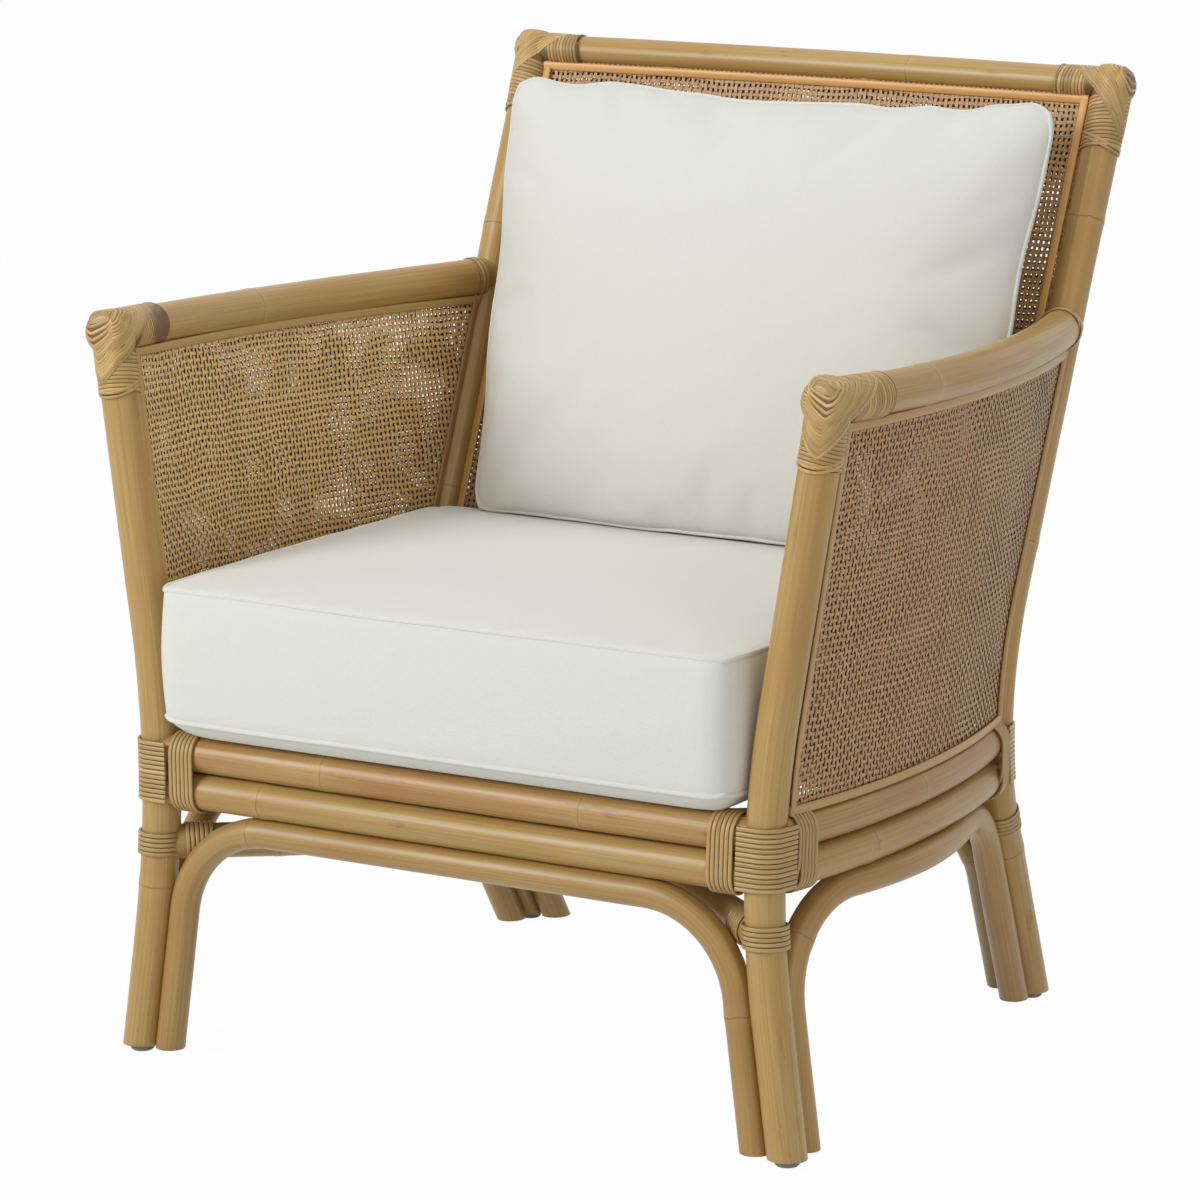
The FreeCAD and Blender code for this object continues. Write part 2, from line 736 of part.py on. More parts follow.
def make_back_cushion(seat):
    """The back cushion, pressed flat where it stands, and the filling inside its cover."""
    sections = []
    for share in PILLOW_SECTIONS:
        fullness = math.sqrt(1 - abs(share) ** PILLOW_SQUARENESS)
        sections.append(pillow_section(share * PILLOW_HALF_WIDTH, fullness))
    pillow = Part.makeLoft(sections, True, False)
    below = seat.translated(Vector(0, 0, CUSHION_CLEARANCE))
    floor = half_space(Vector(0, 0, SEAT_PIPING_HIGH), Vector(0, 0, -1))
    pillow = largest(pillow.cut(below.fuse(floor)))
    half_width = PILLOW_HALF_WIDTH * FILLING_WIDTH_SHARE
    core_face = Part.Face(pillow_section(-half_width, FILLING_FULLNESS))
    core = core_face.extrude(Vector(2 * half_width, 0, 0))
    lowest = Vector(0, 0, SEAT_PIPING_HIGH + FOAM_INSET)
    highest = Vector(0, 0, PILLOW_SEAM_HIGH[1] - FOAM_INSET)
    core = core.common(half_space(lowest, Vector(0, 0, 1)))
    core = core.common(half_space(highest, Vector(0, 0, -1)))
    return pillow.cut(core), core


def build():
    """Every node of the chair, by name."""
    nodes = {}

    # Poles of the frame
    arm_pole = make_arm()
    back_post = make_back_post()
    front_post = make_front_post().cut(arm_pole)
    arm = largest(arm_pole.cut(back_post))
    posts = [front_post, back_post, mirrored(front_post), mirrored(back_post)]
    # Spline copies of the bent back posts cut the bent rails cleanly.
    coping_posts = [back_post.toNurbs(), mirrored(back_post).toNurbs()]
    rails = {}
    for name, height in (("upper", UPPER_RAIL_HEIGHT), ("lower", LOWER_RAIL_HEIGHT)):
        front_rail = hollowed(straight(*across_front(height), RAIL), posts)
        back_rail = hollowed(swept(arc_wire(*back_rail_points(height)), RAIL), coping_posts)
        side_rail = swept(arc_wire(*side_rail_points(height)), RAIL)
        side_rail = hollowed(side_rail, [front_post, coping_posts[0], front_rail, back_rail])
        nodes[f"front_rail_{name}"] = [front_rail]
        nodes[f"back_rail_{name}"] = [back_rail]
        both_sides(nodes, f"side_rail_{name}", side_rail)
        rails[name] = (front_rail, back_rail, side_rail)
    both_sides(nodes, "front_post", front_post)
    both_sides(nodes, "back_post", back_post)
    both_sides(nodes, "arm", arm)
    tall_post = swept(back_post_wire(above=TOP_RAIL), BACK_POST)
    top_rail = hollowed(make_top_rail(), pair_of(tall_post))
    nodes["top_rail"] = [top_rail]

    # Arches, stretchers, deck and glides
    front_arch = make_cross_arch(FRONT_FOOT, FRONT_KNEE, FRONT_POST)
    back_arch = make_cross_arch(BACK_FOOT, BACK_KNEE, BACK_POST)
    side_arch = make_side_arch()
    nodes["front_arch"] = [front_arch]
    nodes["back_arch"] = [back_arch]
    both_sides(nodes, "side_arch", side_arch)
    band_rooms = pair_of(leg_band_envelope(FRONT_AXIS, FRONT_POST))
    band_rooms += pair_of(leg_band_envelope(BACK_AXIS, BACK_POST))
    arches = [front_arch, back_arch, side_arch, mirrored(side_arch)]
    over, under = make_stretchers(posts + arches + band_rooms)
    nodes["stretcher_over"] = [over]
    nodes["stretcher_under"] = [under]
    upper_front, upper_back, upper_side = rails["upper"]
    nodes["seat_slats"] = make_slats(upper_front, upper_back)
    for side, factor in (("right", 1), ("left", -1)):
        for end, foot in (("front", FRONT_FOOT), ("back", BACK_FOOT)):
            nodes[f"glide_{end}_{side}"] = [make_glide((factor * foot[0], foot[1], foot[2]))]

    # Bindings, each group of like ones in one node
    nodes["front_post_bindings"] = pair_of(make_post_band())
    wrap_rooms = {}
    for name, upper, lower, at_start, distance in wrap_places():
        place = rail_wrap_place(upper, lower, at_start, distance)
        wrap, path = make_rail_wrap(*place)
        report_gap(name, path)
        nodes[name] = pair_of(wrap)
        wrap_rooms[name] = wrap_envelope(*place)
    leg_band, path = make_leg_band(FRONT_AXIS, FRONT_POST)
    report_gap("front_leg_bindings", path)
    nodes["front_leg_bindings"] = pair_of(leg_band)
    back_band_pole = hollowed(leg_band_hull(), [posts[1], side_arch, back_arch, over, under])
    nodes["back_leg_bindings"] = pair_of(back_band_pole)
    add_stretcher_bindings(nodes, posts + arches + band_rooms + [over, under])
    arm_hull = add_arm_corner(nodes, arm, front_post)
    top_hulls = add_top_corners(nodes, top_rail, posts)
    ring_hull = add_arm_ring(nodes, arm, back_post)
    nodes["back_post_bindings"] = pair_of(make_back_post_band(posts, rails, wrap_rooms))

    # Cane sheets and their trims
    members = [front_post, back_post, arm, upper_side, arm_hull, ring_hull]
    members += [wrap_rooms["side_rail_bindings_front"], wrap_rooms["side_rail_bindings_back"]]
    add_side_panels(nodes, members)
    back_wrap = wrap_rooms["back_rail_bindings"]
    members = [posts[1], posts[3], top_rail, upper_back] + top_hulls + pair_of(back_wrap)
    members += pair_of(arm_pole) + pair_of(ring_hull)
    add_back_panel(nodes, members)

    # Cushions
    seat, seat_core, seat_whole = make_seat_cushion()
    pillow, pillow_core = make_back_cushion(seat_whole)
    nodes["seat_cushion"] = [seat]
    nodes["seat_foam_core"] = [seat_core]
    nodes["back_cushion"] = [pillow]
    nodes["back_filling"] = [pillow_core]
    return nodes


def add_stretcher_bindings(nodes, cutters):
    """Plain sleeves of strands on both ends of both stretchers."""
    front = height_on(FRONT_AXIS, STRETCHER_HEIGHT)
    back = height_on(BACK_AXIS, STRETCHER_HEIGHT)
    back = Vector(-back.x, back.y, back.z)
    way = unit(back - front)
    near = FRONT_POST / 2 + STRAND
    front_sleeve = make_sleeve(
        front, front + way * (near + STRETCHER_WRAP_LENGTH), STRETCHER, cutters
    )
    back_sleeve = make_sleeve(
        back, back - way * (near + STRETCHER_WRAP_LENGTH), STRETCHER, cutters
    )
    nodes["stretcher_bindings_front"] = pair_of(front_sleeve)
    nodes["stretcher_bindings_back"] = pair_of(back_sleeve)


def add_arm_corner(nodes, arm, front_post):
    """The woven bindings over the front ends of the arms."""
    corner, middle, end = arm_points()
    down = unit(point(*FRONT_KNEE) - point(*FRONT_TOP))
    along = unit(rail_axis(corner, middle, end).tangentAt(0))
    hull = elbow_hull(corner, down, CORNER_WRAP_POST, along, CORNER_WRAP_ARM, FRONT_POST, ARM)
    nodes["arm_corner_bindings"] = pair_of(hollowed(hull, [arm, front_post]))
    return hull


def add_top_corners(nodes, top_rail, posts):
    """The woven bindings over the top back corners."""
    corner = point(*BACK_TOP)
    down = unit(point(*BACK_KNEE) - corner)
    hull = elbow_hull(corner, down, TOP_WRAP, Vector(-1, 0, 0), TOP_WRAP, BACK_POST, TOP_RAIL)
    nodes["top_corner_bindings"] = pair_of(hollowed(hull, [posts[1], top_rail]))
    return pair_of(hull)


def add_arm_ring(nodes, arm, back_post):
    """The rings of strand on the back ends of the arms."""
    corner, middle, end = arm_points()
    axis = rail_axis(corner, middle, end)
    way = axis.tangentAt(axis.LastParameter) * -1
    start = end + way * (BACK_POST / 2)
    hull = straight(start, end + way * (BACK_POST / 2 + RING_WIDTH), ARM + 2 * WOVEN_WRAP)
    nodes["arm_end_bindings"] = pair_of(hollowed(hull, [arm, back_post]))
    return hull


def make_back_post_band(posts, rails, wrap_rooms):
    """A plain binding round a back post at the rails."""
    reach = POST_BAND_PASSES * STRAND_PITCH / 2
    middle_height = (UPPER_RAIL_HEIGHT + LOWER_RAIL_HEIGHT) / 2
    low = height_on(BACK_AXIS, middle_height - reach)
    high = height_on(BACK_AXIS, middle_height + reach)
    centre = height_on(BACK_AXIS, middle_height)
    hull = straight(low, centre, BACK_POST + 2 * WOVEN_WRAP)
    hull = hull.fuse(straight(centre, high, BACK_POST + 2 * WOVEN_WRAP))
    cutters = [posts[1], wrap_rooms["back_rail_bindings"], wrap_rooms["side_rail_bindings_back"]]
    for pair in rails.values():
        cutters += pair[1:]
    return hollowed(hull, cutters)


def add_side_panels(nodes, members):
    """Two cane sheets in each side frame and the strips on both of their faces."""
    for name, inner, outer in (
        ("outer", SHEET_OFFSET, PANEL_FACE),
        ("inner", -PANEL_FACE, -SHEET_OFFSET),
    ):
        both_sides(nodes, f"side_cane_{name}", hollowed(side_band(inner, outer), members))
    front_low, back_low = side_line(0.0)
    front_high, back_high = side_line(1.0)
    frame = [
        (front_post_wire(), FRONT_POST, (front_low, front_high)),
        (arc_wire(*arm_points()), ARM, (front_high, back_high)),
        (back_post_wire(), BACK_POST, (back_high, back_low)),
        (arc_wire(*side_rail_points(UPPER_RAIL_HEIGHT)), RAIL, (back_low, front_low)),
    ]
    grown = [(swept(wire, size + 2 * TRIM_WIDTH), ends) for wire, size, ends in frame]
    for name, inner, outer in (
        ("outer", PANEL_FACE, PANEL_FACE + TRIM),
        ("inner", -PANEL_FACE - TRIM, -PANEL_FACE),
    ):
        strips = make_trims(side_band(inner, outer), members, grown)
        nodes[f"side_trim_{name}_right"] = strips
        nodes[f"side_trim_{name}_left"] = [mirrored(strip) for strip in strips]


def add_back_panel(nodes, members):
    """Two cane sheets in the back frame and the strips on both of their faces."""
    for name, inner, outer in (
        ("front", -PANEL_FACE, -SHEET_OFFSET),
        ("rear", SHEET_OFFSET, PANEL_FACE),
    ):
        nodes[f"back_cane_{name}"] = [hollowed(back_band(inner, outer), members)]
    right_low = height_on(BACK_AXIS, UPPER_RAIL_HEIGHT)
    right_high = point(*BACK_TOP)
    left_low = Vector(-right_low.x, right_low.y, right_low.z)
    left_high = Vector(-right_high.x, right_high.y, right_high.z)
    post = swept(back_post_wire(), BACK_POST + 2 * TRIM_WIDTH)
    top_points = bowed(right_high, left_high, BACK_RAIL_BOW, Vector(0, 1, 0))
    top = swept(arc_wire(*top_points), TOP_RAIL + 2 * TRIM_WIDTH)
    rail = swept(arc_wire(*back_rail_points(UPPER_RAIL_HEIGHT)), RAIL + 2 * TRIM_WIDTH)
    grown = [
        (post, (right_low, right_high)),
        (top, (right_high, left_high)),
        (mirrored(post), (left_high, left_low)),
        (rail, (left_low, right_low)),
    ]
    for name, inner, outer in (
        ("front", -PANEL_FACE - TRIM, -PANEL_FACE),
        ("rear", PANEL_FACE, PANEL_FACE + TRIM),
    ):
        nodes[f"back_trim_{name}"] = make_trims(back_band(inner, outer), members, grown)


def pair_of(shape):
    """A piece and its mirror image, for one node."""
    return [shape, mirrored(shape)]


def wrap_places():
    """Name, upper and lower rail, end of the rails and distance from it for each rail wrap."""
    beside_front = FRONT_POST / 2 + RAIL_WRAP_TURNS * STRAND_PITCH / 2 + STRAND
    beside_back = BACK_POST / 2 + RAIL_WRAP_TURNS * STRAND_PITCH / 2 + STRAND
    fronts = []
    for height in (UPPER_RAIL_HEIGHT, LOWER_RAIL_HEIGHT):
        right, left = across_front(height)
        fronts.append((right, (right + left) / 2, left))
    sides = [side_rail_points(height) for height in (UPPER_RAIL_HEIGHT, LOWER_RAIL_HEIGHT)]
    backs = [back_rail_points(height) for height in (UPPER_RAIL_HEIGHT, LOWER_RAIL_HEIGHT)]
    return [
        ("front_rail_bindings", *fronts, True, beside_front),
        ("side_rail_bindings_front", *sides, True, beside_front),
        ("side_rail_bindings_back", *sides, False, beside_back),
        ("back_rail_bindings", *backs, True, beside_back),
    ]


def across_front(height):
    """Ends of a front rail's axis, on the axes of the two front posts."""
    right = height_on(FRONT_AXIS, height)
    return right, Vector(-right.x, right.y, right.z)


def both_sides(nodes, name, shape):
    """Add a piece and its mirror image as two nodes."""
    nodes[f"{name}_right"] = [shape]
    nodes[f"{name}_left"] = [mirrored(shape)]


def export(nodes):
    """Write one STEP file for each node."""
    os.makedirs("parts", exist_ok=True)
    for name, solids in nodes.items():
        shape = solids[0] if len(solids) == 1 else Part.makeCompound(solids)
        shape.exportStep(f"parts/{name}.step")


export(build())
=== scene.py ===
"""Looks of a rattan armchair: bent poles, strand bindings, cane panels and two loose cushions.

Metres. X runs to the right of a viewer who faces the front, Y from the front to the back, Z up.
"""

import logging
import math
from dataclasses import dataclass, field
from enum import Enum
from typing import Callable, Iterable, Optional, Sequence

import bpy
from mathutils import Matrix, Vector, noise
from mathutils.bvhtree import BVHTree
from mathutils.kdtree import KDTree


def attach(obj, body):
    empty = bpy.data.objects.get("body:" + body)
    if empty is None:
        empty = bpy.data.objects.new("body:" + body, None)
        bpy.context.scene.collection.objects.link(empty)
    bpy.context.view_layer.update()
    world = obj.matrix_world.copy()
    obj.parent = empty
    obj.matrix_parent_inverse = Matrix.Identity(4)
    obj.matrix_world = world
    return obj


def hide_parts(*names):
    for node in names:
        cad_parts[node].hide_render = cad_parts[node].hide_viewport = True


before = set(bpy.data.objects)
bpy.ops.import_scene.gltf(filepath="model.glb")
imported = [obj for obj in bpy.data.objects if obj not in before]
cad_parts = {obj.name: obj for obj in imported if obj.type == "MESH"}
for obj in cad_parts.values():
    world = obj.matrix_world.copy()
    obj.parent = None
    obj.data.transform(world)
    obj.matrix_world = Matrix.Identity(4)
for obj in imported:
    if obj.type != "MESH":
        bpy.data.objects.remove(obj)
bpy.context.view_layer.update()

log = logging.getLogger("armchair")
MM = 0.001
DEPTH_MIDDLE = 332.7
FLOOR_CUT = 6.0 * MM
NO_FLOOR = -1.0
BEYOND = 30.0
LEG_START = 0.02
TINY = 1e-6
BLACK, WHITE = (0.0, 0.0, 0.0, 1.0), (1.0, 1.0, 1.0, 1.0)
RIGHT, BACK, UP = Vector((1, 0, 0)), Vector((0, 1, 0)), Vector((0, 0, 1))
Path = list[Vector]
Spot = tuple[float, float, float]
Faces = list[tuple[int, ...]]


def place(across: float, depth: float, height: float) -> Vector:
    """Turn millimetres across, behind the front plane and over the floor into a point."""
    return Vector((across, depth - DEPTH_MIDDLE, height)) * MM


def mirrored(points: Iterable[Vector]) -> Path:
    """Return the points on the other side of the chair."""
    return [Vector((-p.x, p.y, p.z)) for p in points]


def arc_through(start: Vector, middle: Vector, end: Vector, count: int = 48) -> Path:
    """Points of the arc through three points.

    Args:
        start: First point.
        middle: A point between the ends.
        end: Last point.
        count: Number of steps.

    Returns:
        The points from start to end.
    """
    a, b = start - middle, end - middle
    normal = a.cross(b)
    if normal.length < 1e-12:
        return [start.lerp(end, i / count) for i in range(count + 1)]
    to_centre = (b.length_squared * a - a.length_squared * b).cross(normal)
    centre = middle - to_centre / (2 * normal.length_squared)
    from_centre, to_end = start - centre, end - centre
    u, n = from_centre.normalized(), from_centre.cross(to_end).normalized()
    if from_centre.cross(middle - centre).dot(n) < 0:
        n = -n
    v, radius = n.cross(u), from_centre.length
    angle = math.atan2(to_end.dot(v), to_end.dot(u)) % (2 * math.pi)
    turns = (angle * i / count for i in range(count + 1))
    return [centre + (u * math.cos(t) + v * math.sin(t)) * radius for t in turns]


def bent(points: Sequence[Vector], radii: Sequence[float]) -> Path:
    """Straight runs between points, with corners rounded by radii in millimetres."""
    path = [points[0]]
    for before, corner, after, radius in zip(points, points[1:], points[2:], radii):
        back, ahead = (before - corner).normalized(), (after - corner).normalized()
        half = back.angle(ahead) / 2
        reach = radius * MM / math.tan(half)
        rise = radius * MM / math.sin(half) - radius * MM
        middle = corner + (back + ahead).normalized() * rise
        path += arc_through(corner + back * reach, middle, corner + ahead * reach)
    return path + [points[-1]]


def bowed(start: Vector, end: Vector, bow: float, outward: Vector) -> tuple[Vector, Vector, Vector]:
    """Start, middle and end of an arc that bows by some millimetres."""
    return start, (start + end) / 2 + outward * (bow * MM), end


def at_height(path: Path, height: float) -> Vector:
    """The point of a rising path at a height in metres."""
    for low, high in zip(path, path[1:]):
        if (low.z - height) * (high.z - height) <= 0 and low.z != high.z:
            return low.lerp(high, (height - low.z) / (high.z - low.z))
    return min(path[0], path[-1], key=lambda p: abs(p.z - height))


def lengths(path: Path) -> list[float]:
    """Running length of a path at each of its points."""
    total = [0.0]
    for a, b in zip(path, path[1:]):
        total.append(total[-1] + (b - a).length)
    return total


def along_path(path: Path, distance: float) -> tuple[Vector, Vector]:
    """Point and direction of a path at a distance from its start.

    Args:
        path: The path.
        distance: Distance in metres; from the end where it is negative.

    Returns:
        The point and the unit direction there.
    """
    total = lengths(path)
    if distance < 0:
        distance += total[-1]
    last = len(path) - 2
    i = next((k for k in range(last) if total[k + 1] >= distance), last)
    span = max(total[i + 1] - total[i], 1e-9)
    way = (path[i + 1] - path[i]).normalized()
    return path[i].lerp(path[i + 1], (distance - total[i]) / span), way


def nearest_on(path: Path, spot: Vector) -> Vector:
    """The point of a path that is nearest to a spot."""
    found = []
    for start, end in zip(path, path[1:]):
        step = end - start
        share = (spot - start).dot(step) / step.length_squared
        found.append(start + step * max(0.0, min(1.0, share)))
    return min(found, key=lambda p: (p - spot).length)


def smooth_loop(points: Path, parts: int = 3) -> Path:
    """A closed smooth path through some points, in a few parts between two of them."""
    count = len(points)
    result = []
    for i in range(count):
        p0, p1, p2, p3 = (points[(i + k) % count] for k in (-1, 0, 1, 2))
        for t in (k / parts for k in range(parts)):
            square = 2 * p0 - 5 * p1 + 4 * p2 - p3
            cube = 3 * p1 - p0 - 3 * p2 + p3
            result.append(0.5 * (2 * p1 + (p2 - p0) * t + square * t * t + cube * t ** 3))
    return result + [points[0].copy()]


def mesh_of(name: str, points: Path, edges: Sequence = (), faces: Sequence = ()) -> bpy.types.Mesh:
    """A plain mesh of points, edges and faces."""
    mesh = bpy.data.meshes.new(name)
    mesh.from_pydata([tuple(p) for p in points], edges, faces)
    return mesh


def linked(name: str, data: object) -> bpy.types.Object:
    """A new object in the scene, at the origin."""
    piece = bpy.data.objects.new(name, data)
    bpy.context.scene.collection.objects.link(piece)
    return piece


def settled(source: bpy.types.Object, name: str) -> bpy.types.Object:
    """Keep what an object's modifiers make as a plain piece, in the object's place."""
    evaluated = source.evaluated_get(bpy.context.evaluated_depsgraph_get())
    result = bpy.data.meshes.new_from_object(evaluated)
    result.name = name
    before = source.data
    bpy.data.objects.remove(source)
    bpy.data.meshes.remove(before)
    return linked(name, result)


@dataclass
class ChairLines:
    """Axes of every pole, in chair millimetres, as the frame was built."""

    front_foot: Spot = (325.9, 26.0, 6.0)
    front_knee: Spot = (292.6, 28.0, 251.1)
    front_top: Spot = (353.2, 37.9, 636.8)
    front_knee_radius: float = 871.0
    back_foot: Spot = (269.4, 584.0, 6.0)
    back_knee: Spot = (295.7, 427.8, 290.7)
    back_top: Spot = (302.3, 652.8, 830.0)
    back_knee_radius: float = 249.0
    upper_rail: float = 274.6
    lower_rail: float = 241.7
    side_rail_bow: float = 27.0
    back_rail_bow: float = 12.0
    arm_back: float = 624.0
    arm_bow: float = 28.6
    arm_dip: float = 3.0
    arch_bend: float = 90.0
    arch_height: float = 212.7
    side_arch_bow: float = 47.0
    side_arch_bow_radius: float = 420.0
    stretcher_height: float = 191.0
    front_post_size: float = 34.0
    back_post_size: float = 33.0
    arm_size: float = 35.0
    rail_size: float = 32.0
    top_rail_size: float = 28.0
    arch_size: float = 26.0
    stretcher_size: float = 31.0
    slat_size: float = 18.0
    slat_count: int = 9
    slat_pitch: float = 54.0
    slat_short: float = 9.0
    deck_top: float = 292.6

    @staticmethod
    def post(spots: Sequence[Spot], radius: float, below: float, above: float) -> Path:
        """Axis of a post by its foot, knee and top, longer at its ends by some millimetres."""
        foot, knee, top = (place(*spot) for spot in spots)
        foot = foot + (foot - knee).normalized() * (below * MM)
        top = top + (top - knee).normalized() * (above * MM)
        return bent([foot, knee, top], [radius])

    def front_post(self, below: float = BEYOND, above: float = BEYOND) -> Path:
        """Axis of the right front post."""
        spots = (self.front_foot, self.front_knee, self.front_top)
        return self.post(spots, self.front_knee_radius, below, above)

    def back_post(self, below: float = BEYOND, above: float = BEYOND) -> Path:
        """Axis of the right back post."""
        spots = (self.back_foot, self.back_knee, self.back_top)
        return self.post(spots, self.back_knee_radius, below, above)

    def front_at(self, height: float) -> Vector:
        """Point of the right front post's axis at a height in millimetres."""
        return at_height(self.front_post(), height * MM)

    def back_at(self, height: float) -> Vector:
        """Point of the right back post's axis at a height in millimetres."""
        return at_height(self.back_post(), height * MM)

    def over_back(self, right: Vector, count: int = 48) -> Path:
        """The bowed line across the back from a point on the right to its mirror image."""
        return arc_through(*bowed(right, mirrored([right])[0], self.back_rail_bow, BACK), count)

    def side_rail(self, height: float) -> Path:
        """Axis of the right side rail at a height in millimetres."""
        ends = self.front_at(height), self.back_at(height)
        return arc_through(*bowed(*ends, self.side_rail_bow, RIGHT))

    def back_rail(self, height: float) -> Path:
        """Axis of a back rail, from right to left, at a height in millimetres."""
        return self.over_back(self.back_at(height))

    def front_rail(self, height: float) -> Path:
        """Axis of a front rail, from right to left, at a height in millimetres."""
        right = self.front_at(height)
        return [right, mirrored([right])[0]]

    def top_rail(self) -> Path:
        """Axis of the top rail, from right to left."""
        return self.over_back(place(*self.back_top))

    def arm(self) -> Path:
        """Axis of the right arm, from the front post to the back post."""
        ends = self.front_at(self.front_top[2]), self.back_at(self.arm_back)
        start, middle, end = bowed(*ends, self.arm_bow, RIGHT)
        return arc_through(start, middle - UP * (self.arm_dip * MM), end)

    def arch_leg(self, foot: Spot, knee: Spot, post: float,
                 towards: Vector) -> tuple[Vector, Vector]:
        """Ends of an arch's leg, which touches a post on one side.

        Args:
            foot: The post's foot.
            knee: The post's knee.
            post: The post's diameter, in millimetres.
            towards: Side of the post that the leg stands on.

        Returns:
            The leg's start under the floor and its corner at the arch's height.
        """
        way = (place(*knee) - place(*foot)).normalized()
        aside = (towards - way * towards.dot(way)).normalized()
        start = place(*foot) + aside * ((post + self.arch_size) / 2 * MM)
        start = start + way * ((FLOOR_CUT - start.z) / way.z)
        corner = start + way * ((self.arch_height * MM - start.z) / way.z)
        return start - way * LEG_START, corner

    def cross_arch(self, foot: Spot, knee: Spot, post: float) -> Path:
        """Axis of the front or the back arch, from right to left."""
        right = self.arch_leg(foot, knee, post, -RIGHT)
        return bent([*right, *mirrored(reversed(right))], [self.arch_bend] * 2)

    def side_arch(self) -> Path:
        """Axis of the right side arch, from front to back."""
        front, front_corner = self.arch_leg(
            self.front_foot, self.front_knee, self.front_post_size, BACK)
        back, back_corner = self.arch_leg(
            self.back_foot, self.back_knee, self.back_post_size, -BACK)
        middle = (front_corner + back_corner) / 2 + RIGHT * (self.side_arch_bow * MM)
        room = 1.0
        for end, corner in ((front, front_corner), (back, back_corner)):
            half = (end - corner).angle(middle - corner) / 2
            reach = self.arch_bend * MM / math.tan(half)
            room = min(room, (middle - corner).length - reach - self.arch_size * MM / 4)
        half = (front_corner - middle).angle(back_corner - middle) / 2
        bow_radius = min(self.side_arch_bow_radius, room * math.tan(half) / MM)
        points = [front, front_corner, middle, back_corner, back]
        return bent(points, [self.arch_bend, bow_radius, self.arch_bend])

    def stretcher(self) -> Path:
        """Axis of the stretcher from the front right post to the back left post."""
        height = self.stretcher_height
        return [self.front_at(height), mirrored([self.back_at(height)])[0]]

    def slats(self) -> list[Path]:
        """Axes of the deck's poles, from the front rail to the back rail."""
        front, back = self.front_at(self.deck_top), self.back_at(self.deck_top)
        height, short = (self.deck_top - self.slat_size / 2) * MM, self.slat_short * MM
        paths = []
        for number in range(self.slat_count):
            across = (number - (self.slat_count - 1) / 2) * self.slat_pitch * MM
            bow = self.back_rail_bow * MM * (1 - (across / back.x) ** 2)
            start = Vector((across, front.y + short, height))
            paths.append([start, Vector((across, back.y + bow - short, height))])
        return paths


class Value:
    """An output of a node that plain arithmetic can be done with."""

    def __init__(self, tree: "Tree", socket: bpy.types.NodeSocket) -> None:
        """Keep the output and the tree that it belongs to."""
        self.tree, self.socket = tree, socket

    def __add__(self, other: object) -> "Value":
        """The sum."""
        return self.tree.math("ADD", self, other)

    def __sub__(self, other: object) -> "Value":
        """The difference."""
        return self.tree.math("SUBTRACT", self, other)

    def __rsub__(self, other: object) -> "Value":
        """The difference from a plain number."""
        return self.tree.math("SUBTRACT", other, self)

    def __mul__(self, other: object) -> "Value":
        """The product."""
        return self.tree.math("MULTIPLY", self, other)

    def __truediv__(self, other: object) -> "Value":
        """The quotient."""
        return self.tree.math("DIVIDE", self, other)


class Tree:
    """A small helper that builds node trees, for geometry or for a material."""

    def __init__(self, tree: bpy.types.NodeTree) -> None:
        """Keep the tree that is built, and empty it."""
        self.tree = tree
        tree.nodes.clear()

    def add(self, kind: str, *values: object, **named: object) -> bpy.types.Node:
        """Add a node.

        Args:
            kind: The node's type.
            *values: Values or outputs for its first inputs.
            **named: Its properties, and its inputs by their names with underscores for blanks.

        Returns:
            The node.
        """
        node = self.tree.nodes.new(kind)
        inputs = dict(enumerate(values))
        for key, value in named.items():
            if key[0].isupper():
                inputs[key.replace("_", " ")] = value
            else:
                setattr(node, key, value)
        return self.put(node, inputs)

    def put(self, node: bpy.types.Node, inputs: dict) -> bpy.types.Node:
        """Link outputs to a node's inputs, or set their values."""
        for key, value in inputs.items():
            if isinstance(value, Value):
                self.tree.links.new(value.socket, node.inputs[key])
            else:
                node.inputs[key].default_value = value
        return node

    def out(self, kind: str, *values: object, pick: object = 0, **named: object) -> Value:
        """Add a node and return one of its outputs."""
        return Value(self, self.add(kind, *values, **named).outputs[pick])

    def math(self, operation: str, *values: object) -> Value:
        """Add a Math node."""
        return self.out("ShaderNodeMath", *values, operation=operation)

    def scaled(self, value: object, factor: object) -> Value:
        """Scale a vector."""
        return self.out("ShaderNodeVectorMath", value, Scale=factor, operation="SCALE")

    def combine(self, x: object, y: object = 0.0, z: object = 0.0) -> Value:
        """Join three numbers into a vector."""
        return self.out("ShaderNodeCombineXYZ", x, y, z)

    def split(self, value: object) -> list[Value]:
        """Split a vector into its numbers."""
        return [Value(self, part) for part in self.add("ShaderNodeSeparateXYZ", value).outputs]

    def noise(self, spot: object, scale: float, detail: float = 3.0, rough: float = 0.5) -> Value:
        """Add a noise texture."""
        return self.out("ShaderNodeTexNoise", Vector=spot, Scale=scale, Detail=detail,
                        Roughness=rough)

    def ramp(self, value: object, *stops: tuple[float, Sequence[float]]) -> Value:
        """Add a colour ramp with its places from 0 to 1 and their colours."""
        node = self.add("ShaderNodeValToRGB", value)
        for element, (spot, rgba) in zip(node.color_ramp.elements, stops):
            element.position, element.color = spot, rgba
        return Value(self, node.outputs[0])

    def mix(self, factor: object, first: object, second: object, blend: str = "MIX") -> Value:
        """Mix two colours."""
        node = self.add("ShaderNodeMix", factor, data_type="RGBA", blend_type=blend)
        return Value(self, self.put(node, {6: first, 7: second}).outputs[2])

    def attribute(self, name: str, pick: str = "Fac") -> Value:
        """Read one of the piece's own attributes."""
        return self.out("ShaderNodeAttribute", attribute_name=name, pick=pick)

    def near(self, distance: Value, reach: float) -> Value:
        """1 at no distance, falling to 0 at the reach."""
        return 1.0 - self.math("MINIMUM", 1.0, distance / reach)


